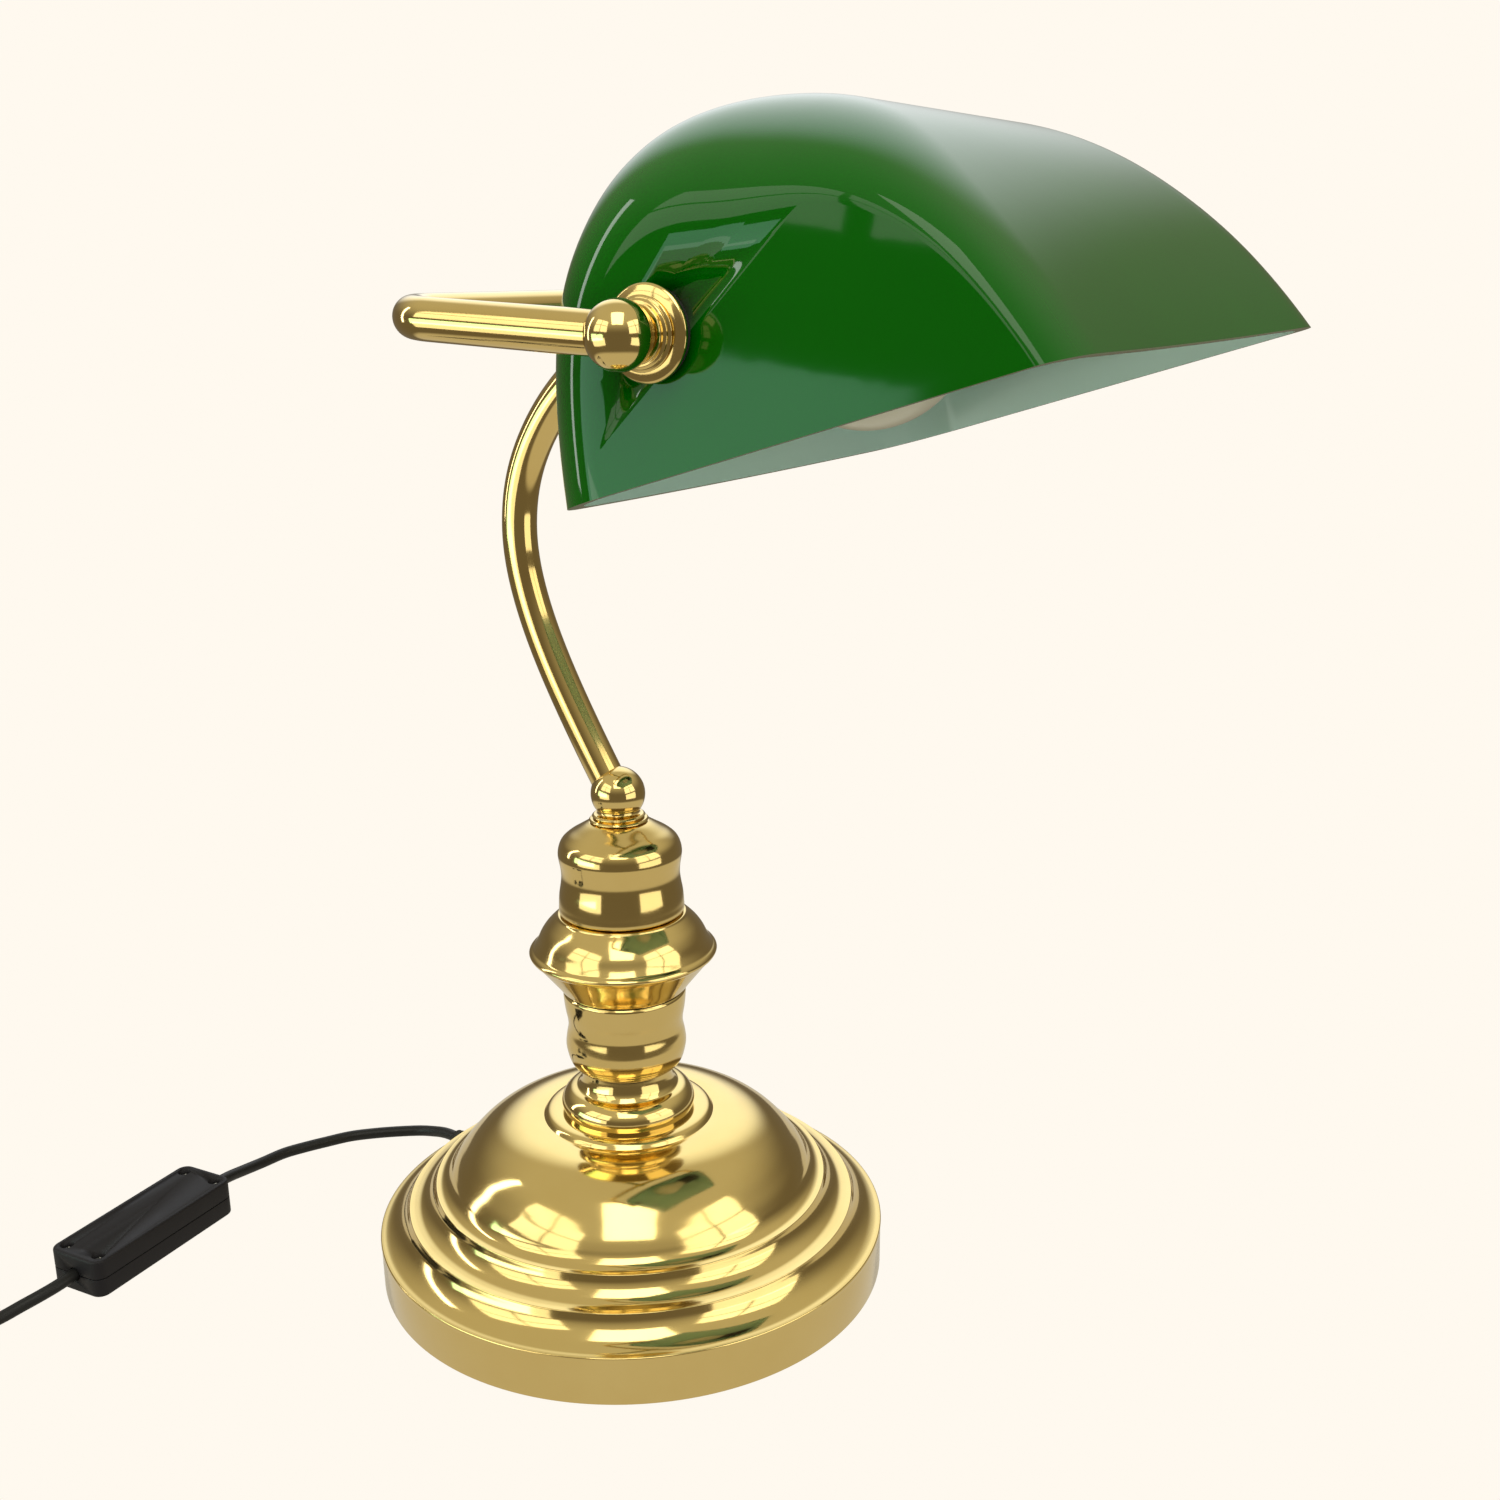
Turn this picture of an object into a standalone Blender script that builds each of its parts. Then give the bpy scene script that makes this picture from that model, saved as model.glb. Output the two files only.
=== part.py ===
"""Banker desk lamp: a brass base, column and bent arm carry a U-shaped yoke that holds a tilting glass shade.

Frame: metres, +Z up, origin at the centre of the base's underside on the floor. The lamp faces -Y and the
shade's long side runs along X. Every length below is in millimetres and is turned to metres by MM.
"""

import math

import bmesh
import bpy
from mathutils import Matrix, Vector

MM = 0.001
GAP = 0.3                      # clearance between pieces that touch

# ---- driving dimensions -------------------------------------------------------------------------------------
BASE_RADIUS = 98.6             # lip of the spun base
BAND_HEIGHT = 18.0             # upright band below the lip
SEAT_HEIGHT = 82.0             # top of the base shell, where the column stands
ROD_RADIUS = 5.0               # M10 threaded tube through the column and the weight
ROD_BORE = 3.6
CLEAR_BORE = 5.6               # hole in what slides over the rod
HEX_BORE = 6.2                 # corner radius of a nut's six-sided hole, clear of the thread
BALL_RADIUS = 10.1             # ball on top of the column
BALL_HEIGHT = 192.2
ARM_RADIUS = 6.4
YOKE_RADIUS = 5.9
TUBE_WALL = 1.0
CROSSBAR_Y = -22.8             # yoke crossbar, behind the shade
CROSSBAR_Z = 365.3
PIVOT_Y = -98.8                # tilt axis through the two side knobs
PIVOT_Z = 360.5
KNOB_X = 126.2                 # half the distance between the knob balls
KNOB_RADIUS = 9.1
YOKE_BEND = 14.0
NIPPLE_RADIUS = 5.0            # M10 threaded tube through each knob and the glass
NIPPLE_BORE = 3.6
SHADE_LENGTH = 225.6
SHADE_DEPTH = 158.7
SHADE_TILT = math.radians(16.24)
SHADE_BACK_Y = -60.0           # middle of the rim's back edge
SHADE_BACK_Z = 311.5
GLASS_WALL = 4.0
CORD_DIAMETER = 4.8
EXIT_ANGLE = math.radians(12.0)   # where the cord leaves the base, turned from straight behind
EXIT_HEIGHT = 7.2
SWITCH_CENTRE = (-100.7, 171.6)   # inline switch on the floor, its rocker underneath
SWITCH_TURN = math.radians(5.0)
SWITCH_SIZE = (73.2, 26.8, 15.6)
SWITCH_PIVOT = 3.6             # height of the rocker's pin
SWITCH_THROW = math.radians(5.0)
COIL_CENTRE = (-226.0, 240.0)
COIL_RADIUS = 26.5             # middle of the coil's turns
COIL_HALF = 7.4                # half the coil's bundle, across and up
PLUG_CENTRE = (-166.5, 293.9)
PLUG_TURN = math.radians(112.0)

BRASS = ("polished_brass", (0.80, 0.60, 0.26, 1.0), 1.0, 0.12)
STEEL = ("zinc_steel", (0.62, 0.62, 0.60, 1.0), 1.0, 0.35)
IRON = ("cast_iron", (0.08, 0.08, 0.09, 1.0), 0.6, 0.7)
GREEN_GLASS = ("green_glass", (0.0, 0.20, 0.02, 1.0), 0.0, 0.05)
OPAL_GLASS = ("opal_glass", (0.85, 0.85, 0.82, 1.0), 0.0, 0.25)
BLACK_PLASTIC = ("black_plastic", (0.012, 0.012, 0.014, 1.0), 0.0, 0.4)
BLACK_PVC = ("black_cord", (0.010, 0.010, 0.011, 1.0), 0.0, 0.5)
BLACK_RUBBER = ("black_rubber", (0.02, 0.02, 0.02, 1.0), 0.0, 0.8)
CERAMIC = ("white_ceramic", (0.82, 0.81, 0.77, 1.0), 0.0, 0.3)
FELT = ("green_felt", (0.03, 0.10, 0.04, 1.0), 0.0, 0.95)

# Base shell, outer side: seat, neck rolls, dome, two stepped rolls, lip and band.
BASE_OUTER = [
    (16.6, 82.0), (17.3, 79.6), (18.0, 76.4), (19.6, 74.8), (22.8, 73.6), (25.2, 71.0), (25.8, 68.2),
    (25.4, 65.8), (29.4, 65.3), (31.9, 64.4), (33.2, 62.8), (42.0, 62.2), (50.0, 59.9), (56.2, 56.5),
    (60.9, 52.7), (64.9, 48.4), (69.0, 42.9), (70.2, 40.9), (71.8, 39.2), (73.9, 38.1), (76.0, 37.7),
    (77.2, 34.8), (79.2, 32.2), (82.0, 30.3), (86.8, 29.3), (88.2, 26.2), (90.4, 23.4), (93.4, 21.2),
    (98.2, 19.6), (98.6, 18.0), (98.4, 0.5),
]
BASE_INNER = [
    (97.2, 0.5), (97.2, 17.6), (91.2, 20.7), (88.6, 23.2), (87.0, 25.6), (85.8, 27.9), (81.4, 29.0),
    (78.2, 31.2), (76.0, 34.0), (74.8, 36.3), (70.9, 38.2), (69.1, 40.1), (63.8, 47.6), (59.9, 51.7),
    (55.4, 55.4), (49.4, 58.7), (32.4, 61.4), (23.8, 64.0), (24.0, 70.4), (17.2, 74.4), (15.4, 80.6),
    (CLEAR_BORE, 80.6),
]

# Column castings, each from its lower bore edge round the outside and back down its hollow.
COLUMN_LOWER = [
    (13.0, 82.3), (16.2, 82.3), (19.6, 84.0), (21.7, 86.4), (22.8, 89.6), (23.1, 93.0), (22.7, 96.4),
    (22.0, 99.8), (22.0, 102.4), (22.5, 105.6), (23.1, 108.8), (23.3, 112.0), (23.3, 114.9),
    (CLEAR_BORE, 114.9), (CLEAR_BORE, 112.0), (19.0, 112.0), (19.0, 88.0),
]
COLUMN_BELL = [
    (19.0, 115.2), (23.4, 115.2), (25.2, 117.2), (28.6, 121.2), (32.2, 125.8), (34.8, 129.0), (35.6, 130.8),
    (34.9, 132.2), (33.0, 134.6), (31.2, 137.8), (29.0, 141.0), (26.4, 143.6), (24.2, 146.0),
    (CLEAR_BORE, 146.0), (CLEAR_BORE, 143.0), (21.0, 141.0), (27.5, 131.0),
]
COLUMN_UPPER = [
    (19.0, 146.3), (23.6, 146.3), (23.5, 150.0), (23.2, 154.0), (22.6, 157.6), (22.3, 160.6), (22.4, 163.4),
    (22.9, 166.4), (23.2, 169.4), (22.9, 172.0), (21.8, 174.6), (19.6, 176.6), (16.0, 178.9), (12.6, 181.0),
    (10.9, 181.6), (CLEAR_BORE, 181.6), (CLEAR_BORE, 179.0), (13.0, 177.0), (19.0, 172.0),
]
COLUMN_NECK = [
    (CLEAR_BORE, 181.9), (10.8, 181.9), (11.0, 182.8), (9.6, 183.5), (9.4, 184.9), (7.6, 185.4), (7.3, 186.2),
    (CLEAR_BORE, 186.2),
]

# Arm: control points (y, z) of the smooth curve from the column's ball to the crossbar.
ARM_ROUTE = [(0.0, 190.0), (22.2, 226.3), (39.4, 262.6), (42.3, 294.4), (31.6, 324.2), (8.0, 347.6),
             (CROSSBAR_Y, CROSSBAR_Z)]

# Shade section (u forward along the rim plane, w up from it): control points of its smooth outline.
SHADE_OUTLINE = [(0.0, 0.0), (5.0, 44.0), (22.0, 77.0), (47.5, 96.5), (77.0, 93.5), (108.0, 79.5), (131.0, 54.5),
                 (148.5, 25.0), (SHADE_DEPTH, 0.0)]
SHADE_CENTRE_U = 0.45 * SHADE_DEPTH
SHRINK_BACK, SHRINK_TOP, SHRINK_FRONT = 0.31, 0.373, 0.10    # how far the end outline draws in
ROUND_BACK, ROUND_TOP, ROUND_FRONT = 22.4, 59.0, 23.7        # how far along X the rounding reaches
END_LEAN = 0.058               # the ends lean in with height
BOW_FRONT, BOW_BACK = -4.0, 9.4

# Free cord: hand-placed points (x, y, z of the centre line), in order from the base.
ROUTE_TO_SWITCH = [(24.4, 115.0, 7.1), (26.3, 123.4, 5.9), (27.4, 131.0, 4.0), (26.6, 138.6, 2.6),
                   (20.8, 147.0, 2.5), (13.8, 155.2, 2.5), (6.0, 162.6, 2.5), (-4.0, 168.6, 2.5),
                   (-12.0, 173.0, 2.5), (-20.6, 176.9, 2.5), (-31.6, 178.8, 2.6), (-42.6, 178.4, 4.2),
                   (-53.6, 176.3, 6.7), (-64.2, 174.8, 7.75), (-76.3, 173.7, 7.8)]
ROUTE_TO_COIL = [(-125.1, 169.5, 7.8), (-137.2, 168.4, 7.75), (-145.0, 168.5, 7.0), (-152.0, 170.2, 5.7),
                 (-158.6, 172.4, 4.3), (-165.0, 174.2, 3.1), (-172.0, 176.0, 2.5), (-180.6, 179.2, 2.5),
                 (-190.6, 185.4, 2.5), (-200.6, 193.0, 2.5), (-211.0, 200.4, 2.5), (-226.0, 204.6, 2.5)]
ROUTE_TO_PLUG = [(-224.0, 276.8, 11.6), (-212.6, 277.2, 11.0), (-201.6, 278.8, 9.6), (-191.4, 282.2, 8.4),
                 (-185.6, 286.0, 8.0)]


def clear_scene() -> None:
    """Remove every object that the file opened with."""
    for item in list(bpy.data.objects):
        bpy.data.objects.remove(item, do_unlink=True)


def material(spec: tuple) -> bpy.types.Material:
    """Return the material of a (name, colour, metallic, roughness) spec, made once."""
    name, colour, metallic, roughness = spec
    found = bpy.data.materials.get(name)
    if found:
        return found
    made = bpy.data.materials.new(name)
    made.use_nodes = True
    shader = made.node_tree.nodes["Principled BSDF"]
    shader.inputs["Base Color"].default_value = colour
    shader.inputs["Metallic"].default_value = metallic
    shader.inputs["Roughness"].default_value = roughness
    made.diffuse_color = colour
    return made


def add_object(name: str, mesh: bpy.types.Mesh, spec: tuple, matrix: Matrix = None) -> bpy.types.Object:
    """Link a mesh as a named object with its material, placed by a matrix in metres."""
    piece = bpy.data.objects.new(name, mesh)
    bpy.context.scene.collection.objects.link(piece)
    mesh.materials.append(material(spec))
    mesh.shade_smooth()
    mesh.set_sharp_from_angle(angle=math.radians(35.0))
    if matrix is not None:
        piece.matrix_world = matrix
    return piece


def mesh_from(name: str, verts: list, faces: list) -> bpy.types.Mesh:
    """Build a mesh from millimetre points and faces, with every face turned outwards."""
    mesh = bpy.data.meshes.new(name)
    mesh.from_pydata([tuple(c * MM for c in v) for v in verts], [], faces)
    shape = bmesh.new()
    shape.from_mesh(mesh)
    bmesh.ops.recalc_face_normals(shape, faces=shape.faces)
    shape.to_mesh(mesh)
    shape.free()
    return mesh


def turned_mesh(name: str, profile: list, segments: int, closed: bool = True) -> bpy.types.Mesh:
    """Turn a profile of (radius, height) about Z; a closed profile makes a ring, an open one ends on the axis."""
    verts = []
    rings = []
    for radius, height in profile:
        if radius < 1e-6:
            rings.append([len(verts)])
            verts.append((0.0, 0.0, height))
            continue
        rings.append([len(verts) + k for k in range(segments)])
        for k in range(segments):
            angle = 2.0 * math.pi * k / segments
            verts.append((radius * math.cos(angle), radius * math.sin(angle), height))
    faces = []
    pairs = list(zip(rings, rings[1:]))
    if closed:
        pairs.append((rings[-1], rings[0]))
    for first, second in pairs:
        for k in range(segments):
            nxt = (k + 1) % segments
            if len(first) == 1:
                faces.append((first[0], second[k], second[nxt]))
            elif len(second) == 1:
                faces.append((first[k], second[0], first[nxt]))
            else:
                faces.append((first[k], second[k], second[nxt], first[nxt]))
    return mesh_from(name, verts, faces)


def turned(name: str, profile: list, segments: int, spec: tuple, matrix: Matrix = None, closed: bool = True):
    """Add a turned piece."""
    return add_object(name, turned_mesh(name, profile, segments, closed), spec, matrix)


def ring_profile(inner: float, outer: float, low: float, high: float, bevel: float = 0.0) -> list:
    """Return a plain or bevelled ring section."""
    if bevel <= 0.0:
        return [(inner, low), (outer, low), (outer, high), (inner, high)]
    return [(inner, low), (outer - bevel, low), (outer, low + bevel), (outer, high - bevel),
            (outer - bevel, high), (inner, high)]


def along_x(side: int, y: float = PIVOT_Y, z: float = PIVOT_Z) -> Matrix:
    """Return the placement that turns a piece's +Z to point along side * X on the pivot axis."""
    turn = Matrix.Rotation(side * math.radians(90.0), 4, "Y")
    return Matrix.Translation(Vector((0.0, y, z)) * MM) @ turn


def aimed(point: Vector, direction: Vector) -> Matrix:
    """Return the placement at a millimetre point with +Z along a direction."""
    turn = Vector((0.0, 0.0, 1.0)).rotation_difference(direction.normalized()).to_matrix().to_4x4()
    return Matrix.Translation(point * MM) @ turn


def apply_cut(piece: bpy.types.Object, cutter_mesh: bpy.types.Mesh, matrix: Matrix = None) -> None:
    """Cut a mesh out of a piece with a live Boolean modifier and a hidden cutter."""
    cutter = bpy.data.objects.new("cut_" + piece.name, cutter_mesh)
    bpy.context.scene.collection.objects.link(cutter)
    cutter.hide_render = True
    cutter.display_type = "WIRE"
    if matrix is not None:
        cutter.matrix_world = matrix
    cut = piece.modifiers.new("cut", "BOOLEAN")
    cut.operation = "DIFFERENCE"
    cut.solver = "EXACT"
    cut.object = cutter


def rod_mesh(name: str, radius: float, low: float, high: float, segments: int = 16) -> bpy.types.Mesh:
    """Return a plain solid rod along Z, used as a cutter or a pin."""
    return turned_mesh(name, [(0.0, low), (radius, low), (radius, high), (0.0, high)], segments, closed=False)


def box_mesh(name: str, low: tuple, high: tuple) -> bpy.types.Mesh:
    """Return a box between two corners."""
    (x0, y0, z0), (x1, y1, z1) = low, high
    verts = [(x0, y0, z0), (x1, y0, z0), (x1, y1, z0), (x0, y1, z0),
             (x0, y0, z1), (x1, y0, z1), (x1, y1, z1), (x0, y1, z1)]
    faces = [(0, 3, 2, 1), (4, 5, 6, 7), (0, 1, 5, 4), (1, 2, 6, 5), (2, 3, 7, 6), (3, 0, 4, 7)]
    return mesh_from(name, verts, faces)


def spline_points(control: list, count: int) -> list:
    """Return points of the clamped cubic B-spline through a control polygon's ends, as Vectors."""
    degree = 3
    spans = len(control) - degree
    knots = [0.0] * degree + [k / spans for k in range(spans + 1)] + [1.0] * degree
    points = []
    for step in range(count):
        t = step / (count - 1)
        span = min(int(t * spans), spans - 1) + degree
        work = [Vector(control[span - degree + j]) for j in range(degree + 1)]
        for level in range(1, degree + 1):
            for j in range(degree, level - 1, -1):
                left = knots[j + span - degree]
                right = knots[j + 1 + span - level]
                mix = (t - left) / (right - left)
                work[j] = work[j - 1].lerp(work[j], mix)
        points.append(work[degree])
    return points


def smooth_route(route: list, spacing: float) -> list:
    """Return evenly spaced points of the Catmull-Rom curve through a route."""
    pts = [Vector(p) for p in route]
    pts = [2.0 * pts[0] - pts[1]] + pts + [2.0 * pts[-1] - pts[-2]]
    fine = []
    for a, b, c, d in zip(pts, pts[1:], pts[2:], pts[3:]):
        for step in range(12):
            t = step / 12.0
            fine.append(0.5 * ((2.0 * b) + (c - a) * t + (2.0 * a - 5.0 * b + 4.0 * c - d) * t * t
                               + (3.0 * b - a - 3.0 * c + d) * t * t * t))
    fine.append(pts[-2])
    lengths = [0.0]
    for a, b in zip(fine, fine[1:]):
        lengths.append(lengths[-1] + (b - a).length)
    count = max(3, round(lengths[-1] / spacing) + 1)
    even = []
    index = 0
    for step in range(count):
        target = lengths[-1] * step / (count - 1)
        while index < len(lengths) - 2 and lengths[index + 1] < target:
            index += 1
        share = (target - lengths[index]) / (lengths[index + 1] - lengths[index])
        even.append(fine[index].lerp(fine[index + 1], share))
    return even


def swept_tube(name: str, path: list, radius: float, wall: float, sides: int, spec: tuple):
    """Add a hollow tube of a planar-ish path, its ends cut square: rings carried along without twist."""
    verts = []
    frames = []
    normal = None
    for i, point in enumerate(path):
        ahead = path[min(i + 1, len(path) - 1)] - path[max(i - 1, 0)]
        tangent = ahead.normalized()
        if normal is None:
            normal = tangent.orthogonal().normalized()
        normal = (normal - tangent * normal.dot(tangent)).normalized()
        frames.append((point, normal.copy(), tangent.cross(normal)))
    for size in (radius, radius - wall):
        for point, side_a, side_b in frames:
            for k in range(sides):
                angle = 2.0 * math.pi * k / sides
                verts.append(tuple(point + size * (math.cos(angle) * side_a + math.sin(angle) * side_b)))
    count = len(path)
    faces = []
    for shell in range(2):
        start = shell * count * sides
        for i in range(count - 1):
            for k in range(sides):
                nxt = (k + 1) % sides
                a = start + i * sides
                faces.append((a + k, a + nxt, a + sides + nxt, a + sides + k))
    for i in (0, count - 1):
        for k in range(sides):
            nxt = (k + 1) % sides
            a = i * sides
            b = count * sides + i * sides
            faces.append((a + k, a + nxt, b + nxt, b + k))
    return add_object(name, mesh_from(name, verts, faces), spec)


def cord_tube(name: str, route: list, spacing: float, diameter: float, spec: tuple):
    """Add a cord as a bevelled poly curve with filled caps along a smooth route."""
    points = smooth_route(route, spacing)
    curve = bpy.data.curves.new(name, "CURVE")
    curve.dimensions = "3D"
    curve.bevel_depth = 0.5 * diameter * MM
    curve.bevel_resolution = 2
    curve.render_resolution_u = 0
    curve.use_fill_caps = True
    spline = curve.splines.new("POLY")
    spline.points.add(len(points) - 1)
    for target, point in zip(spline.points, points):
        target.co = (point.x * MM, point.y * MM, point.z * MM, 1.0)
    curve.materials.append(material(spec))
    tube = bpy.data.objects.new(name, curve)
    bpy.context.scene.collection.objects.link(tube)
    return tube


def build_base() -> None:
    """Felt pad, iron weight, spun shell, and the cord's strain relief through the shell."""
    turned("felt_pad", [(0.0, 0.0), (94.0, 0.0), (94.0, 1.5), (0.0, 1.5)], 36, FELT, closed=False)
    weight = turned("base_weight", [(17.0, 1.8), (82.0, 1.8), (83.0, 3.0), (83.0, 15.0), (81.0, 16.8),
                                    (CLEAR_BORE, 16.8), (CLEAR_BORE, 12.0), (17.0, 12.0)], 32, IRON)
    direction = Vector((math.sin(EXIT_ANGLE), math.cos(EXIT_ANGLE), 0.0))
    channel = box_mesh("channel", (-6.2, 14.0, -1.0), (6.2, 110.0, 13.0))
    apply_cut(weight, channel, Matrix.Rotation(-EXIT_ANGLE, 4, "Z"))
    shell = turned("base_shell", [(CLEAR_BORE, SEAT_HEIGHT)] + BASE_OUTER + BASE_INNER, 32, BRASS)
    exit_axis = aimed(Vector((0.0, 0.0, EXIT_HEIGHT)), direction)
    apply_cut(shell, rod_mesh("exit_hole", 4.6, 88.0, 106.0), exit_axis)
    relief = [(2.9, 89.0), (5.5, 89.0), (5.5, 96.4), (4.2, 96.4), (4.2, 99.0), (5.4, 99.0), (5.4, 100.6),
              (4.6, 101.6), (3.6, 116.4), (2.9, 116.4)]
    turned("strain_relief", relief, 16, BLACK_RUBBER, exit_axis)
    clamp = box_mesh("cord_clamp", (-5.0, 62.0, 3.0), (5.0, 71.7, 10.8))
    add_object("cord_clamp", clamp, STEEL, Matrix.Rotation(-EXIT_ANGLE, 4, "Z"))


def build_column() -> None:
    """Threaded rod with its washer and nut, the three castings, the neck and the ball."""
    turned("threaded_rod", ring_profile(ROD_BORE, ROD_RADIUS, 3.0, 189.0), 16, STEEL)
    turned("rod_washer", ring_profile(CLEAR_BORE, 14.0, 9.7, 11.7), 20, STEEL)
    turned("rod_nut", ring_profile(HEX_BORE, 10.2, 4.2, 9.4), 6, STEEL)
    turned("column_lower", COLUMN_LOWER, 24, BRASS)
    turned("column_bell", COLUMN_BELL, 28, BRASS)
    turned("column_upper", COLUMN_UPPER, 24, BRASS)
    turned("column_neck", COLUMN_NECK, 20, BRASS)
    base_angle = -math.asin((BALL_HEIGHT - 186.5) / BALL_RADIUS)
    ball = [(0.0, 191.6), (3.4, 191.6), (3.4, 190.0), (ROD_RADIUS + GAP, 190.0), (ROD_RADIUS + GAP, 186.5)]
    for step in range(10):
        angle = base_angle + (0.5 * math.pi - base_angle) * step / 9.0
        ball.append((max(0.0, BALL_RADIUS * math.cos(angle)), BALL_HEIGHT + BALL_RADIUS * math.sin(angle)))
    ball[-1] = (0.0, BALL_HEIGHT + BALL_RADIUS)
    knob = turned("column_ball", ball, 20, BRASS, closed=False)
    seat = aimed(Vector((0.0, 0.0, BALL_HEIGHT)), arm_path()[1] - arm_path()[0])
    socket = [(0.0, -1.3), (3.3, -1.3), (3.3, 7.2), (7.6, 7.2), (7.6, 14.0), (0.0, 14.0)]
    apply_cut(knob, turned_mesh("arm_seat", socket, 20, closed=False), seat)


def arm_path() -> list:
    """Return the arm's centre line as Vectors, from the ball's seat to the boss on the crossbar."""
    curve = [Vector((0.0, p.x, p.y)) for p in spline_points(ARM_ROUTE, 19)]
    ball = Vector((0.0, 0.0, BALL_HEIGHT))
    bar = Vector((0.0, CROSSBAR_Y, CROSSBAR_Z))
    inside = [p for p in curve if (p - ball).length > 10.5 and (p - bar).length > 11.0]
    start = ball + (inside[0] - ball).normalized() * 7.5
    end = bar + (inside[-1] - bar).normalized() * 8.3
    return [start] + inside + [end]


def yoke_path() -> list:
    """Return the yoke's centre line: left arm, bend, crossbar, bend, right arm."""
    forward = (Vector((0.0, PIVOT_Y, PIVOT_Z)) - Vector((0.0, CROSSBAR_Y, CROSSBAR_Z))).normalized()
    reach = KNOB_RADIUS - 2.5
    path = []
    for side in (-1, 1):
        corner = Vector((side * KNOB_X, CROSSBAR_Y, CROSSBAR_Z))
        knob = Vector((side * KNOB_X, PIVOT_Y, PIVOT_Z))
        bend_centre = corner + forward * YOKE_BEND - Vector((side * YOKE_BEND, 0.0, 0.0))
        half = [knob - forward * reach, corner + forward * (YOKE_BEND + 20.0)]
        for step in range(7):
            angle = 0.5 * math.pi * step / 6.0
            half.append(bend_centre + YOKE_BEND * (Vector((side * math.cos(angle), 0.0, 0.0))
                                                   - forward * math.sin(angle)))
        half.append(Vector((side * 40.0, CROSSBAR_Y, CROSSBAR_Z)))
        path += half if side < 0 else list(reversed(half))
    return path


def build_arm_and_yoke() -> None:
    """Bent arm, the boss where it meets the crossbar, and the yoke tube."""
    path = arm_path()
    swept_tube("arm_tube", path, ARM_RADIUS, TUBE_WALL, 12, BRASS)
    swept_tube("yoke_tube", yoke_path(), YOKE_RADIUS, TUBE_WALL, 12, BRASS)
    boss = [(YOKE_RADIUS + GAP, -11.0), (7.6, -11.0), (9.0, -8.6), (9.6, 0.0), (9.0, 8.6), (7.6, 11.0),
            (YOKE_RADIUS + GAP, 11.0)]
    sleeve = turned("yoke_boss", boss, 20, BRASS, along_x(1, CROSSBAR_Y, CROSSBAR_Z))
    bar = Vector((0.0, CROSSBAR_Y, CROSSBAR_Z))
    apply_cut(sleeve, rod_mesh("boss_seat", 8.0, 8.0, 16.0, 20), aimed(bar, path[-1] - bar))
    rise = [(0.0, 0.0, z) for z in (6.0, 50.0, 95.0, 140.0, 170.0, 185.0)] + [(0.0, 0.5, 192.0), (0.0, 2.4, 196.4)]
    cord_tube("inner_flex", rise + [tuple(p) for p in path[1:-2:2]], 13.0, 3.2, BLACK_PVC)


def build_side(side: int, label: str) -> None:
    """Everything on the tilt axis at one end of the shade that both ends share."""
    place = along_x(side)
    ball = []
    for step in range(10):
        angle = math.radians(-50.0 + 140.0 * step / 9.0)
        ball.append((max(0.0, KNOB_RADIUS * math.cos(angle)), KNOB_X + KNOB_RADIUS * math.sin(angle)))
    ball[-1] = (0.0, KNOB_X + KNOB_RADIUS)
    flat = KNOB_X + KNOB_RADIUS * math.sin(math.radians(-50.0))
    ball = [(0.0, KNOB_X), (NIPPLE_RADIUS + GAP, KNOB_X), (NIPPLE_RADIUS + GAP, flat)] + ball
    knob = turned("knob_ball_" + label, ball, 20, BRASS, place, closed=False)
    centre = Vector((side * KNOB_X, PIVOT_Y, PIVOT_Z))
    back = Vector((0.0, CROSSBAR_Y - PIVOT_Y, CROSSBAR_Z - PIVOT_Z))
    apply_cut(knob, rod_mesh("yoke_seat", 6.9, 6.3, 14.0, 20), aimed(centre, back))
    bore = NIPPLE_RADIUS + GAP
    collar = [(bore, 116.3), (9.6, 116.3), (9.8, 117.0), (8.7, 117.5), (8.7, 117.9), (7.9, 118.2), (7.5, flat - GAP),
              (bore, flat - GAP)]
    turned("knob_collar_" + label, collar, 20, BRASS, place)
    flange = [(bore, 113.4), (12.2, 113.4), (12.6, 113.9), (12.5, 115.0), (11.4, 116.0), (bore, 116.0)]
    turned("knob_flange_" + label, flange, 28, BRASS, place)
    turned("outer_washer_" + label, ring_profile(bore, 12.0, 111.8, 113.1), 24, BLACK_RUBBER, place)
    turned("inner_washer_" + label, ring_profile(bore, 11.0, 104.4, 105.6), 20, BLACK_RUBBER, place)
    if side < 0:
        turned("clamp_nut_" + label, ring_profile(HEX_BORE, 9.2, 100.4, 104.1), 6, STEEL, place)
    turned("nipple_" + label, ring_profile(NIPPLE_BORE, NIPPLE_RADIUS, 96.0, KNOB_X - GAP), 16, STEEL, place)


def shade_section(count: int) -> list:
    """Return (u, w, share along the outline) samples of the shade's outer section."""
    return [(p.x, p.y, i / (count - 1)) for i, p in enumerate(spline_points(SHADE_OUTLINE, count))]


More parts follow.
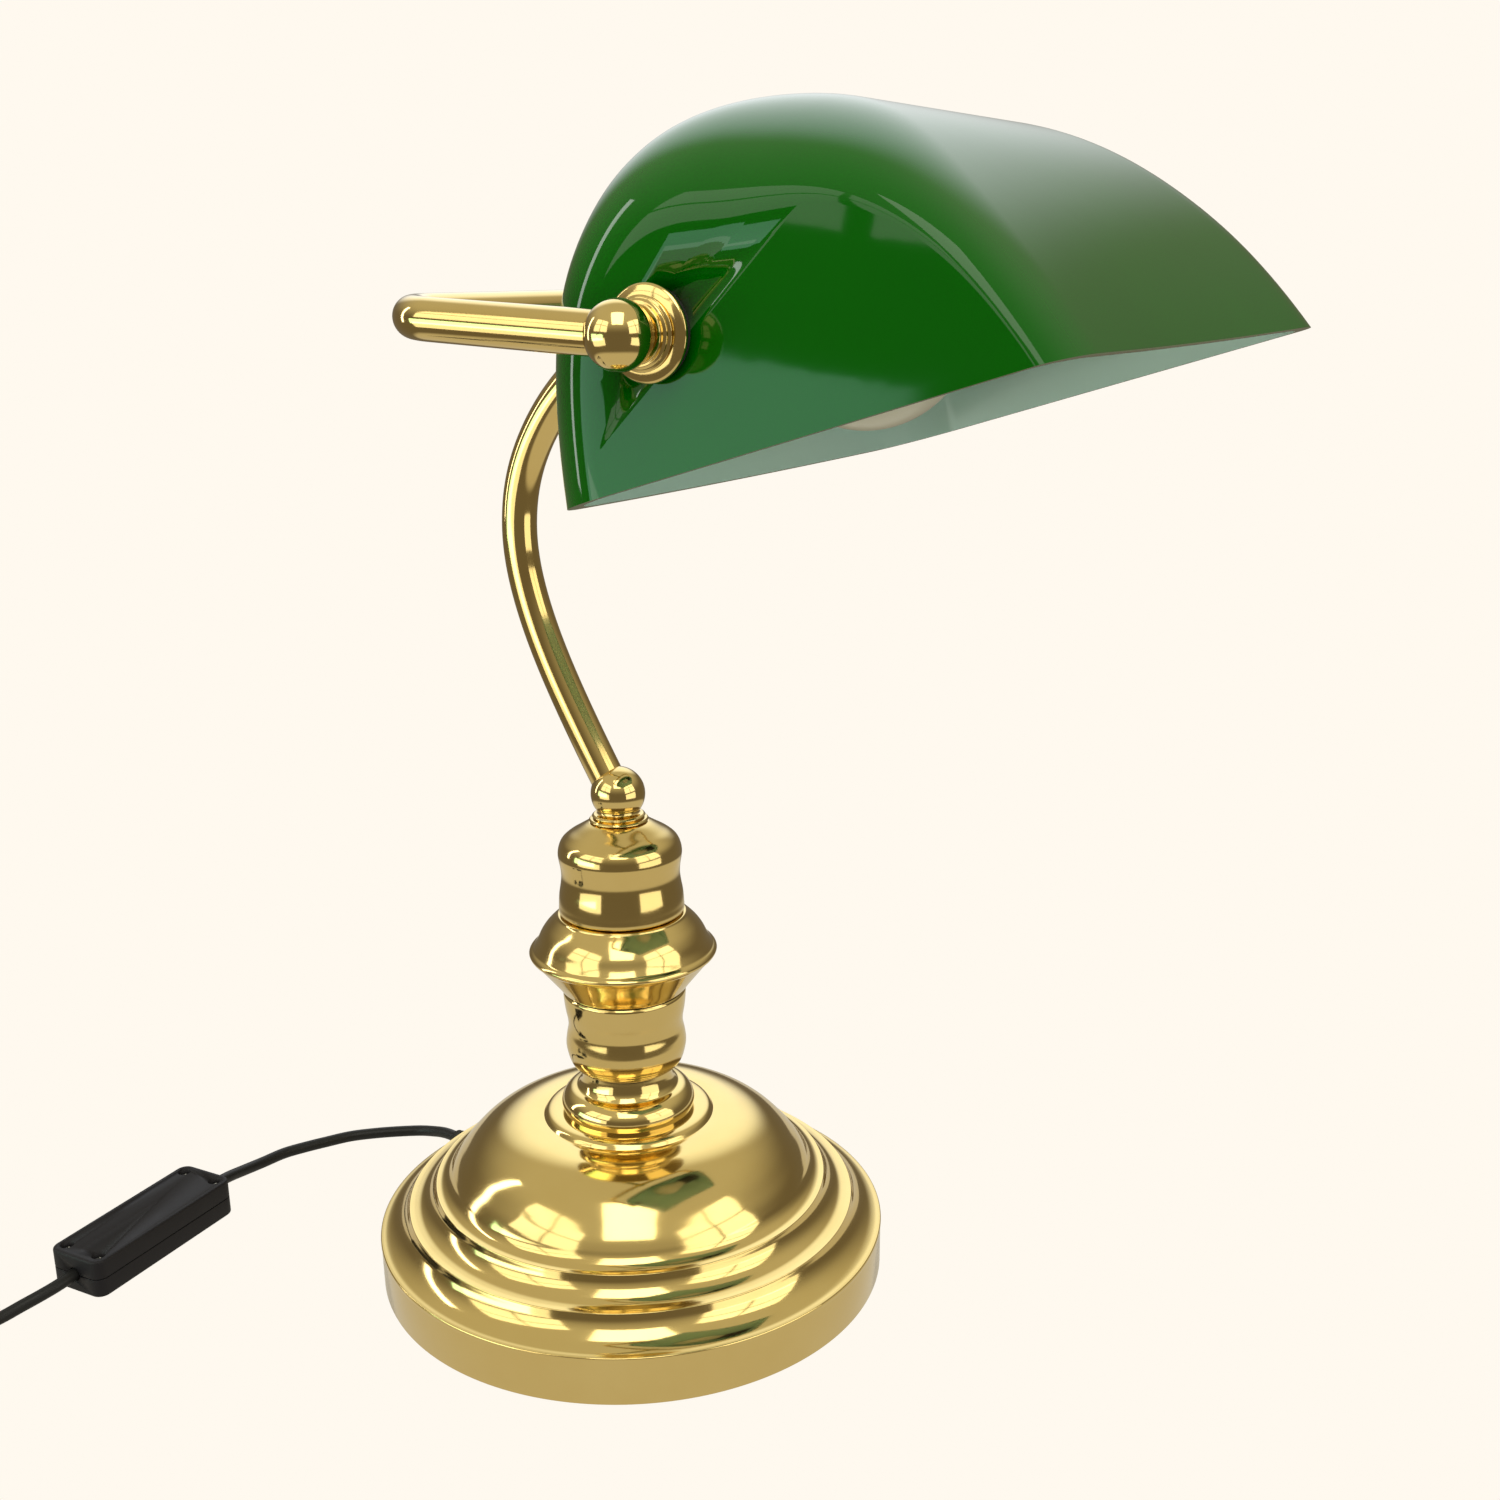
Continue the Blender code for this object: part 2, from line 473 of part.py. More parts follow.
def shade_station(section: list, turn: float, blend: float, side: int, wall: float) -> list:
    """Return one outline of the shade.

    turn runs from 0 at the end face to a right angle where the rounding ends; blend then runs to the middle.
    wall draws the outline inwards for the inner surface.
    """
    half = 0.5 * SHADE_LENGTH
    points = []
    for u, w, t in section:
        edge = math.cos(math.pi * t) ** 2
        shrink = (SHRINK_BACK if t < 0.5 else SHRINK_FRONT) * edge + SHRINK_TOP * (1.0 - edge)
        reach = (ROUND_BACK if t < 0.5 else ROUND_FRONT) * edge + ROUND_TOP * (1.0 - edge)
        scale = 1.0 - shrink * (1.0 - math.sin(turn))
        du, dw = u - SHADE_CENTRE_U, w
        size = math.hypot(du, dw)
        scale *= (size - wall) / size
        du, dw = du * scale, dw * scale
        distance = reach * (1.0 - math.cos(turn)) * (1.0 - blend) + half * blend
        along = -half + wall * (1.0 - distance / half) + distance + END_LEAN * dw * (1.0 - distance / half)
        bulge = 1.0 - (along / half) ** 2
        forward = SHADE_CENTRE_U + du + BOW_FRONT * max(0.0, (t - 0.6) / 0.4) * bulge
        forward -= BOW_BACK * max(0.0, (0.3 - t) / 0.3) * bulge
        points.append(shade_to_lamp(-side * along, forward, dw))
    return points


def shade_to_lamp(x: float, forward: float, up: float) -> tuple:
    """Turn shade coordinates into the lamp's."""
    cosine, sine = math.cos(SHADE_TILT), math.sin(SHADE_TILT)
    return (x, SHADE_BACK_Y - forward * cosine + up * sine, SHADE_BACK_Z + forward * sine + up * cosine)


def shade_surface(wall: float, count: int) -> list:
    """Return the stations of the outer (wall 0) or inner surface from the left end to the right."""
    section = shade_section(count)
    steps = [(math.radians(a), 0.0) for a in (0.0, 30.0, 55.0, 75.0, 90.0)] + [(math.radians(90.0), b)
                                                                             for b in (0.5,)]
    left = [shade_station(section, turn, blend, 1, wall) for turn, blend in steps]
    middle = [shade_station(section, math.radians(90.0), 1.0, 1, wall)]
    right = [shade_station(section, turn, blend, -1, wall) for turn, blend in reversed(steps)]
    return left + middle + right


def build_shade() -> None:
    """The glass shade: outer and inner surfaces joined round the flat rim, with a hole at each end."""
    count = 19
    outer = shade_surface(0.0, count)
    inner = shade_surface(GLASS_WALL, count)
    stations = len(outer)
    verts = [p for station in outer for p in station] + [p for station in inner for p in station]
    start = stations * count
    faces = []
    for base in (0, start):
        for i in range(stations - 1):
            for j in range(count - 1):
                a = base + i * count + j
                faces.append((a, a + 1, a + count + 1, a + count))
        for i in (0, stations - 1):
            faces.append(tuple(base + i * count + j for j in range(count)))
    for i in range(stations - 1):
        for j in (0, count - 1):
            a, b = i * count + j, (i + 1) * count + j
            faces.append((a, b, start + b, start + a))
    for i in (0, stations - 1):
        a, b = i * count, i * count + count - 1
        faces.append((a, b, start + b, start + a))
    shade = add_object("glass_shade", mesh_from("glass_shade", verts, faces), GREEN_GLASS)
    for side in (-1, 1):
        apply_cut(shade, rod_mesh("pivot_hole", 6.6, 96.0, 120.0, 16), along_x(side))


def build_lampholder() -> None:
    """Lampholder screwed onto the right-hand nipple, which clamps the glass, and the bulb screwed into it."""
    place = along_x(1)
    bore = NIPPLE_RADIUS + GAP
    turned("holder_cap", [(bore, 104.1), (15.0, 104.1), (20.4, 101.6), (22.4, 97.6), (22.4, 90.6), (21.0, 90.6),
                          (21.0, 96.6), (18.6, 100.4), (bore, 102.0)], 24, BLACK_PLASTIC, place)
    turned("holder_insert", ring_profile(2.2, 17.8, 88.7, 95.6), 20, CERAMIC, place)
    turned("holder_contact", [(0.0, 86.2), (4.6, 86.2), (4.6, 88.4), (0.0, 88.4)], 12, BRASS, place, closed=False)
    turned("screw_shell", ring_profile(14.0, 14.7, 62.0, 88.4), 20, BRASS, place)
    turned("holder_shell", [(15.6, 57.0), (19.2, 57.0), (20.2, 58.0), (20.2, 96.0), (18.4, 96.0), (18.4, 59.4),
                            (15.6, 59.4)], 24, BLACK_PLASTIC, place)
    turned("bulb_cap", [(0.0, 60.0), (13.3, 60.0), (13.3, 79.6), (6.0, 83.2), (4.8, 85.9), (0.0, 85.9)], 20, STEEL,
           place, closed=False)
    outer = [(0.0, -28.0)]
    inner = [(0.0, -26.8)]
    for angle in range(18, 121, 17):
        turn = math.radians(angle)
        outer.append((34.0 * math.sin(turn), 6.0 - 34.0 * math.cos(turn)))
        inner.append((32.8 * math.sin(turn), 6.0 - 32.8 * math.cos(turn)))
    outer += [(25.8, 30.5), (21.2, 38.5), (17.6, 46.5), (15.2, 54.0), (14.2, 59.7)]
    inner += [(24.6, 30.0), (20.0, 38.0), (16.4, 46.2), (14.0, 53.8), (13.0, 59.7)]
    turned("bulb_glass", outer + inner[::-1], 20, OPAL_GLASS, place, closed=False)


def switch_place() -> Matrix:
    """Return the inline switch's placement: centred on its footprint, standing on the floor."""
    x, y = SWITCH_CENTRE
    return Matrix.Translation(Vector((x, y, 0.0)) * MM) @ Matrix.Rotation(SWITCH_TURN, 4, "Z")


def rounded_block(name: str, size: tuple, low: float, high: float, corner: float, closed_low: bool):
    """Return a block with rounded upright corners and a chamfer round its closed face."""
    half_x, half_y = 0.5 * size[0] - corner, 0.5 * size[1] - corner
    shape = []
    for quarter, (sx, sy) in enumerate(((1, 1), (-1, 1), (-1, -1), (1, -1))):
        for step in range(4):
            angle = math.radians(90.0 * quarter + 30.0 * step)
            shape.append((sx * half_x + corner * math.cos(angle), sy * half_y + corner * math.sin(angle)))
    trimmed = [(x * (1.0 - 1.6 / size[0]), y * (1.0 - 1.6 / size[1])) for x, y in shape]
    closed_z, open_z, step_in = (low, high, 0.8) if closed_low else (high, low, -0.8)
    rings = [[(x, y, closed_z) for x, y in trimmed], [(x, y, closed_z + step_in) for x, y in shape],
             [(x, y, open_z) for x, y in shape]]
    count = len(shape)
    faces = [tuple(range(count)), tuple(range(2 * count, 3 * count))]
    for i in range(2):
        for k in range(count):
            nxt = (k + 1) % count
            faces.append((i * count + k, i * count + nxt, (i + 1) * count + nxt, (i + 1) * count + k))
    return mesh_from(name, [p for ring in rings for p in ring], faces)


def build_switch() -> None:
    """Inline switch: two halves screwed together, its rocker and pin underneath, and the contact block."""
    place = switch_place()
    height = SWITCH_SIZE[2]
    middle = 0.5 * height
    upper = add_object("switch_upper", rounded_block("switch_upper", SWITCH_SIZE, middle + 0.15, height, 4.5, False),
                       BLACK_PLASTIC, place)
    lower = add_object("switch_lower", rounded_block("switch_lower", SWITCH_SIZE, 0.0, middle - 0.15, 4.5, True),
                       BLACK_PLASTIC, place)
    notch = place @ Matrix.Translation(Vector((0.0, 0.0, middle)) * MM) @ Matrix.Rotation(math.radians(90.0), 4, "Y")
    for half, low, high in ((upper, middle - 1.0, height - 1.8), (lower, 1.8, middle + 1.0)):
        apply_cut(half, box_mesh("pocket", (-25.0, -10.4, low), (25.0, 10.4, high)), place)
        apply_cut(half, rod_mesh("cord_notch", 2.8, -45.0, 45.0, 12), notch)
    apply_cut(lower, box_mesh("rocker_window", (-10.2, -5.3, -1.0), (10.2, 5.3, 3.0)), place)
    corners = ((-1, -1), (-1, 1), (1, -1), (1, 1))
    for index, (sx, sy) in enumerate(corners, start=1):
        spot = place @ Matrix.Translation(Vector((sx * 31.3, sy * 8.5, 0.0)) * MM)
        screw = [(0.0, 3.0), (1.3, 3.0), (1.3, 11.8), (2.3, 11.8), (2.3, 13.7), (0.0, 13.7)]
        turned("switch_screw_%d" % index, screw, 12, STEEL, spot, closed=False)
        hole = [(0.0, 5.0), (1.6, 5.0), (1.6, 11.5), (2.6, 11.5), (2.6, 17.0), (0.0, 17.0)]
        apply_cut(upper, turned_mesh("screw_hole", hole, 12, closed=False), spot)
        apply_cut(lower, rod_mesh("screw_thread", 1.6, 2.7, 9.0, 12), spot)
    pivot = place @ Matrix.Translation(Vector((0.0, 0.0, SWITCH_PIVOT)) * MM)
    side = [(-9.6, -2.6), (0.0, -1.9), (9.6, -2.6), (9.6, 0.4), (3.5, 2.4), (-3.5, 2.4), (-9.6, 0.4)]
    count = len(side)
    verts = [(x, y, z) for y in (-4.9, 4.9) for x, z in side]
    faces = [tuple(range(count)), tuple(range(count, 2 * count))]
    faces += [(k, (k + 1) % count, (k + 1) % count + count, k + count) for k in range(count)]
    rocker = add_object("switch_rocker", mesh_from("switch_rocker", verts, faces), BLACK_PLASTIC,
                        pivot @ Matrix.Rotation(SWITCH_THROW, 4, "Y"))
    across = Matrix.Rotation(math.radians(90.0), 4, "X")
    apply_cut(rocker, rod_mesh("pin_hole", 1.3, -8.0, 8.0, 12), pivot @ across)
    add_object("rocker_pin", rod_mesh("rocker_pin", 1.0, -10.1, 10.1, 12), STEEL, pivot @ across)
    add_object("switch_contacts", box_mesh("switch_contacts", (-14.0, -6.5, 6.7), (14.0, 6.5, 12.4)), BRASS, place)


def build_cords() -> None:
    """The free cord in its stretches, its stored coil with a tie, and the plug."""
    spacing = 2.4 * CORD_DIAMETER
    outward = Vector((math.sin(EXIT_ANGLE), math.cos(EXIT_ANGLE), 0.0))
    lead_in = [tuple(outward * r + Vector((0.0, 0.0, EXIT_HEIGHT))) for r in (72.0, 84.0, 96.0, 107.0)]
    cord_tube("cord_to_switch", lead_in + ROUTE_TO_SWITCH, spacing, CORD_DIAMETER, BLACK_PVC)
    cord_tube("cord_to_coil", ROUTE_TO_COIL, spacing, CORD_DIAMETER, BLACK_PVC)
    cord_tube("cord_to_plug", ROUTE_TO_PLUG, spacing, CORD_DIAMETER, BLACK_PVC)
    centre = Matrix.Translation(Vector((COIL_CENTRE[0], COIL_CENTRE[1], COIL_HALF + 0.1)) * MM)
    section = []
    for step in range(8):
        angle = math.radians(22.5 + 45.0 * step)
        section.append((COIL_RADIUS + COIL_HALF * 1.08 * math.cos(angle), COIL_HALF * 1.08 * math.sin(angle)))
    turned("cord_coil", section, 28, BLACK_PVC, centre)


def build_plug() -> None:
    """Flat two-pin plug lying beside the coil."""
    x, y = PLUG_CENTRE
    place = Matrix.Translation(Vector((x, y, 8.0)) * MM) @ Matrix.Rotation(PLUG_TURN, 4, "Z")
    body = [(-6.2, -5.6), (-4.4, -7.4), (4.4, -7.4), (6.2, -5.6), (6.2, 5.6), (4.4, 7.4), (-4.4, 7.4), (-6.2, 5.6)]
    stations = [(19.4, 0.24, 0.60), (15.0, 0.38, 0.78), (8.0, 0.70, 0.94), (-2.0, 1.0, 1.0), (-17.6, 1.0, 1.0)]
    verts = [(2.36 * across * wide, along, up * deep) for along, wide, deep in stations for up, across in body]
    faces = [tuple(range(8)), tuple(range(32, 40))]
    for i in range(4):
        for k in range(8):
            nxt = (k + 1) % 8
            faces.append((i * 8 + k, i * 8 + nxt, (i + 1) * 8 + nxt, (i + 1) * 8 + k))
    add_object("plug_body", mesh_from("plug_body", verts, faces), BLACK_PLASTIC, place)
    for index, offset in enumerate((-9.3, 9.3), start=1):
        pin = place @ Matrix.Translation(Vector((offset, -17.9, 0.0)) * MM) @ Matrix.Rotation(math.radians(90.0), 4, "X")
        turned("plug_pin_%d" % index, [(0.0, 0.0), (2.0, 0.0), (2.0, 17.4), (1.4, 19.0), (0.0, 19.0)], 12, STEEL, pin,
               closed=False)


def main() -> None:
    """Build every piece of the lamp."""
    clear_scene()
    build_base()
    build_column()
    build_arm_and_yoke()
    for side, label in ((-1, "left"), (1, "right")):
        build_side(side, label)
    build_shade()
    build_lampholder()
    build_switch()
    build_cords()
    build_plug()


main()
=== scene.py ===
"""Looks of the banker desk lamp: lacquered brass stand, cased green glass shade, opal bulb, inline switch and cord.

Every size is in millimetres in the part's own frame (+Z up, the lamp faces -Y) and MM turns it to metres.
"""

import logging
import math
from dataclasses import dataclass, field
from enum import Enum
from itertools import product

import bmesh
import bpy
import numpy as np
from mathutils import Matrix, Vector

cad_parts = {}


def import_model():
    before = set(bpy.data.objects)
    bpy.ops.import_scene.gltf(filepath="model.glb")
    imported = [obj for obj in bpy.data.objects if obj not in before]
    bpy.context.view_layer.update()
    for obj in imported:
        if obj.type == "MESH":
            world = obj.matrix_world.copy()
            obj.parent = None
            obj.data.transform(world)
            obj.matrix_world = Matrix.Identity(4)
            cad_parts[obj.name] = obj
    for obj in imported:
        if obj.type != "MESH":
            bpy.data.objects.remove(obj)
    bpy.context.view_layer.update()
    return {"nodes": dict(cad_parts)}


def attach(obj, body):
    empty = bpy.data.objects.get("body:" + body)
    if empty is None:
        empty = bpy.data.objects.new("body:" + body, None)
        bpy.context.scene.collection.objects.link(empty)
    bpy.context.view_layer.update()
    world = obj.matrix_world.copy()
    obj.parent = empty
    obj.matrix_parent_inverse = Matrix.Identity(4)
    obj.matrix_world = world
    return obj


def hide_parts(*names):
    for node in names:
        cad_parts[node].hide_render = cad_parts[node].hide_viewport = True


LOG = logging.getLogger("lamp")
MM = 0.001

X_AXIS = np.array([1.0, 0.0, 0.0])
UP = np.array([0.0, 0.0, 1.0])
QUARTER = 0.5 * math.pi
AXIS = 0.02                                 # smallest radius of a profile that ends on its axis
CREASE_ANGLE = math.radians(38.0)           # edges sharper than this stay sharp
CORNER_POINTS = 8                           # points round the corner of a block

PIVOT = np.array([0.0, -98.8, 360.5])       # tilt axis, along X
CROSSBAR = np.array([0.0, -22.8, 365.3])    # middle of the yoke's crossbar
KNOB_X = 126.2                              # knob balls, either side of the middle
EXIT_TURN = math.radians(12.0)              # the cord leaves the base this far round from straight behind
EXIT_WAY = np.array([math.sin(EXIT_TURN), math.cos(EXIT_TURN), 0.0])
EXIT = np.array([0.0, 0.0, 7.2])            # where the exit's line meets the lamp's axis
SWITCH_CENTRE = (-100.7, 171.6)
SWITCH_TURN = math.radians(5.0)
SWITCH_MIDDLE = 7.8                         # height of the split between its halves
COIL_CENTRE = (-226.0, 240.0)
PLUG_CENTRE = (-166.5, 293.9, 8.0)
PLUG_TURN = math.radians(112.0)
CORD_RADIUS = 2.4


class Body(Enum):
    """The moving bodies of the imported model."""

    STAND = "stand"
    SHADE = "shade"
    BULB = "bulb"
    ROCKER = "rocker"


class Side(Enum):
    """The two ends of the shade, as directions along X."""

    LEFT = -1
    RIGHT = 1

    def turn(self) -> np.ndarray:
        """Return the 3 x 3 turn that takes +Z outwards on this side."""
        return axis_turn(self.value * X_AXIS)


# ---- shapes ----


@dataclass
class Surface:
    """A mesh in the making: points in millimetres, faces, and the finish index of each face."""

    points: np.ndarray
    faces: list
    finish: np.ndarray | None = None

    def moved(self, shift: np.ndarray | tuple, turn: np.ndarray = np.eye(3)) -> "Surface":
        """Return the surface turned by a 3 x 3 matrix and then shifted."""
        return Surface(self.points @ turn.T + shift, self.faces, self.finish)


def smooth(points: list | tuple, per_span: int = 6) -> np.ndarray:
    """Return a curve through the points: each span is a Catmull-Rom cubic weighted by the root of its chord.

    Args:
        points: Points of the curve, of any dimension.
        per_span: Samples on each span.

    Returns:
        The samples, one row each, ends included.
    """
    p = np.asarray(points, dtype=float)
    p = np.vstack([2.0 * p[0] - p[1], p, 2.0 * p[-1] - p[-2]])
    t = np.linspace(0.0, 1.0, per_span, endpoint=False)[:, None]
    spans = []
    for a, b, c, d in zip(p, p[1:], p[2:], p[3:]):
        k1, k2, k3 = (math.sqrt(max(np.linalg.norm(q - r), 1e-6)) for q, r in ((b, a), (c, b), (d, c)))
        out = ((b - a) / k1 - (c - a) / (k1 + k2) + (c - b) / k2) * k2
        into = ((c - b) / k2 - (d - b) / (k2 + k3) + (d - c) / k3) * k2
        spans.append((2 * t**3 - 3 * t**2 + 1) * b + (t**3 - 2 * t**2 + t) * out
                     + (3 * t**2 - 2 * t**3) * c + (t**3 - t**2) * into)
    return np.vstack(spans + [p[-2][None]])


def outline(start: tuple, *parts: tuple | list) -> np.ndarray:
    """Return a profile of parts that meet at creases.

    Args:
        start: The first point.
        parts: Each a tuple, the end of a straight line, or a list, the points of a curve on from the last one.

    Returns:
        The profile's points, one row each.
    """
    rows = np.array([start], dtype=float)
    for part in parts:
        more = [part] if isinstance(part, tuple) else smooth([rows[-1], *part])[1:]
        rows = np.vstack([rows, more])
    return rows


def bspline(control: tuple, count: int) -> np.ndarray:
    """Return samples of the clamped cubic B-spline of a control polygon, by the Cox-de Boor sum of its bases."""
    c = np.asarray(control, dtype=float)
    spans = len(c) - 3
    knots = np.r_[[0.0] * 3, np.linspace(0.0, 1.0, spans + 1), [1.0] * 3]
    t = np.linspace(0.0, 1.0, count)
    basis = [((knots[i] <= t) & (t < knots[i + 1])).astype(float) for i in range(len(knots) - 1)]
    basis[spans + 2] = np.where(t >= 1.0, 1.0, basis[spans + 2])
    for degree in (1, 2, 3):
        raised = []
        for i in range(len(knots) - 1 - degree):
            left, right = knots[i + degree] - knots[i], knots[i + degree + 1] - knots[i + 1]
            rise = (t - knots[i]) / left * basis[i] if left > 0 else 0.0
            fall = (knots[i + degree + 1] - t) / right * basis[i + 1] if right > 0 else 0.0
            raised.append(rise + fall)
        basis = raised
    return np.stack(basis[: len(c)], axis=1) @ c


def grid_faces(rows: int, columns: int, wrap_rows: bool = False, wrap_columns: bool = False) -> list:
    """Return the quads of a grid of points, joined at its ends where a direction wraps."""
    i, j = np.meshgrid(np.arange(rows - (not wrap_rows)), np.arange(columns - (not wrap_columns)), indexing="ij")
    i2, j2 = (i + 1) % rows, (j + 1) % columns
    quads = np.stack([i * columns + j, i * columns + j2, i2 * columns + j2, i2 * columns + j], axis=-1)
    return quads.reshape(-1, 4).tolist()


def rings_of(profile: np.ndarray | list, segments: int) -> np.ndarray:
    """Return a ring of points for each (radius, height) of a profile: x, y = radius * (cos a, sin a)."""
    a = np.linspace(0.0, math.tau, segments, endpoint=False)
    r, z = np.asarray(profile, dtype=float).T[:, :, None]
    return np.stack([r * np.cos(a), r * np.sin(a), z + 0.0 * a], axis=-1)


def capped(rings: np.ndarray) -> Surface:
    """Join closed rings, an array of shape (rings, points, 3), into a skin and close its two ends flat."""
    rows, columns = rings.shape[:2]
    faces = grid_faces(rows, columns, wrap_columns=True)
    faces += [list(range(columns))[::-1], list(range((rows - 1) * columns, rows * columns))]
    return Surface(rings.reshape(-1, 3), faces)


def turned(profile: np.ndarray | list, segments: int) -> Surface:
    """Turn a closed profile of (radius, height) about Z."""
    return Surface(rings_of(profile, segments).reshape(-1, 3), grid_faces(len(profile), segments, True, True))


def turned_solid(profile: np.ndarray | list, segments: int) -> Surface:
    """Turn an open profile whose two ends are closed by flat discs, such as a bulb, a screw or a pin."""
    return capped(rings_of(profile, segments))


def rod(radius: float, low: float, high: float, segments: int = 32) -> Surface:
    """Return a round rod along Z."""
    return turned_solid([(radius, low), (radius, high)], segments)


def ball_arc(radius: float, centre: float, low: float) -> np.ndarray:
    """Return an arc of (radius, height) on a ball, from an angle in degrees off its middle up to its pole."""
    a = np.radians(np.linspace(low, 90.0, 24))
    return np.stack([np.maximum(radius * np.cos(a), AXIS), centre + radius * np.sin(a)], axis=1)


def swept(path: np.ndarray, radius: float, across: np.ndarray, sides: int) -> Surface:
    """Carry a circle along a path: centre + radius * (cos a * u + sin a * v), u and v square to the path.

    Args:
        path: Points of the centre line.
        radius: Radius of the tube.
        across: A direction that is never along the path, from which u is taken.
        sides: Points round the circle.

    Returns:
        The tube, closed by a flat disc at each end.
    """
    tangent = np.gradient(path, axis=0)
    tangent /= np.linalg.norm(tangent, axis=1)[:, None]
    u = across - tangent * (tangent @ across)[:, None]
    u /= np.linalg.norm(u, axis=1)[:, None]
    v = np.cross(tangent, u)
    a = np.linspace(0.0, math.tau, sides, endpoint=False)[None, :, None]
    return capped(path[:, None] + radius * (np.cos(a) * u[:, None] + np.sin(a) * v[:, None]))


def rounded_loop(length: float, width: float, corner: float, height: float) -> np.ndarray:
    """Return a rectangle with round corners at a height, counter-clockwise."""
    a = np.linspace(0.0, QUARTER, CORNER_POINTS)
    turns = np.arange(4)[:, None] * QUARTER
    signs = np.array([[1, 1], [-1, 1], [-1, -1], [1, -1]])
    centre = signs * (0.5 * length - corner, 0.5 * width - corner)
    x = centre[:, :1] + corner * np.cos(a + turns)
    y = centre[:, 1:] + corner * np.sin(a + turns)
    return np.stack([x.ravel(), y.ravel(), np.full(x.size, height)], axis=1)


def standing_loop(length: float, width: float, corner: float, along: float) -> np.ndarray:
    """Return a rectangle with round corners that stands upright across Y."""
    x, y, level = rounded_loop(length, width, corner, along).T
    return np.stack([x, level, y], axis=1)


def block(length: float, width: float, corner: float, low: float, high: float, edge: tuple) -> Surface:
    """Return a block with round corners, its lower and upper edges rounded by quarter circles of radius edge."""
    loops = []
    arc = np.linspace(0.0, QUARTER, 6)
    for radius, height, sense in ((edge[0], low, 1.0), (edge[1], high, -1.0)):
        for turn in arc if sense > 0 else arc[::-1]:
            inset = radius * (1.0 - math.sin(turn))
            rise = sense * radius * (1.0 - math.cos(turn))
            loops.append(rounded_loop(length - 2.0 * inset, width - 2.0 * inset, max(corner - inset, 0.05),
                                      height + rise))
    return capped(np.stack(loops))


def axis_turn(direction: np.ndarray) -> np.ndarray:
    """Return the 3 x 3 turn that takes +Z to a direction."""
    return np.array(Vector(UP).rotation_difference(Vector(direction)).to_matrix())


def flat_turn(angle: float) -> np.ndarray:
    """Return the 3 x 3 turn about Z."""
    return np.array(Matrix.Rotation(angle, 3, "Z"))


# ---- pieces ----


def add_object(name: str, data: bpy.types.ID) -> bpy.types.Object:
    """Add an object to the scene."""
    made = bpy.data.objects.new(name, data)
    bpy.context.scene.collection.objects.link(made)
    return made


def make_mesh(name: str, surface: Surface) -> bpy.types.Mesh:
    """Return a Blender mesh of a surface, in metres, its faces turned outwards."""
    mesh = bpy.data.meshes.new(name)
    mesh.from_pydata((surface.points * MM).tolist(), [], surface.faces)
    if surface.finish is not None:
        mesh.polygons.foreach_set("material_index", surface.finish.astype(np.int32))
    mesh.validate()
    shell = bmesh.new()
    shell.from_mesh(mesh)
    if shell.calc_volume(signed=True) < 0.0:
        mesh.flip_normals()
    shell.free()
    mesh.shade_smooth()
    mesh.set_sharp_from_angle(angle=CREASE_ANGLE)
    return mesh


def make_piece(name: str, surface: Surface, finishes: tuple, replaces: tuple = (), cutters: tuple = (),
               body: Body = Body.STAND) -> bpy.types.Object:
    """Add a finished piece of the lamp.

    Args:
        name: The piece's plain name.
        surface: Its shape.
        finishes: Its finishes, in the order of the surface's finish indices.
        replaces: The CAD nodes it stands for.
        cutters: Surfaces cut out of it.
        body: The moving body it belongs to.

    Returns:
        The new object, at the origin.
    """
    piece = add_object(name, make_mesh(name, surface))
    for finish in finishes:
        piece.data.materials.append(finish.material())
    if cutters:
        carve(piece, cutters)
    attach(piece, body.value)
    if replaces:
        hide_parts(*replaces)
    LOG.info("%s: %d points on %s", name, len(piece.data.vertices), body.value)
    return piece


def carve(piece: bpy.types.Object, cutters: tuple) -> None:
    """Cut surfaces out of a piece, exactly, and keep the result as its mesh."""
    helpers = []
    for index, cutter in enumerate(cutters):
        helper = add_object(f"cutter_{index}", make_mesh("cutter", cutter))
        cut = piece.modifiers.new("cut", "BOOLEAN")
        cut.operation, cut.solver, cut.object = "DIFFERENCE", "EXACT", helper
        helpers.append(helper)
    bpy.context.view_layer.update()
    carved = bpy.data.meshes.new_from_object(piece.evaluated_get(bpy.context.evaluated_depsgraph_get()))
    piece.modifiers.clear()
    piece.data = carved
    for helper in helpers:
        bpy.data.objects.remove(helper, do_unlink=True)


# ---- finishes ----


def linear(colour: str) -> tuple:
    """Return the linear RGBA of an sRGB hex colour."""
    channels = [int(colour[i:i + 2], 16) / 255.0 for i in (1, 3, 5)]
    return tuple(c / 12.92 if c <= 0.04045 else ((c + 0.055) / 1.055) ** 2.4 for c in channels) + (1.0,)


def add_node(tree: bpy.types.NodeTree, kind: str, settings: dict | None = None,
             inputs: dict | None = None) -> bpy.types.Node:
    """Add a node, set its properties, and set or link its inputs.

    Args:
        tree: The node tree.
        kind: The node's type, without ShaderNode before it.
        settings: Property names and values.
        inputs: Input names or numbers, each with a value or the socket that feeds it.

    Returns:
        The node.
    """
    node = tree.nodes.new(f"ShaderNode{kind}")
    for key, value in (settings or {}).items():
        setattr(node, key, value)
    for key, value in (inputs or {}).items():
        if isinstance(value, bpy.types.NodeSocket):
            tree.links.new(value, node.inputs[key])
        else:
            node.inputs[key].default_value = value
    return node


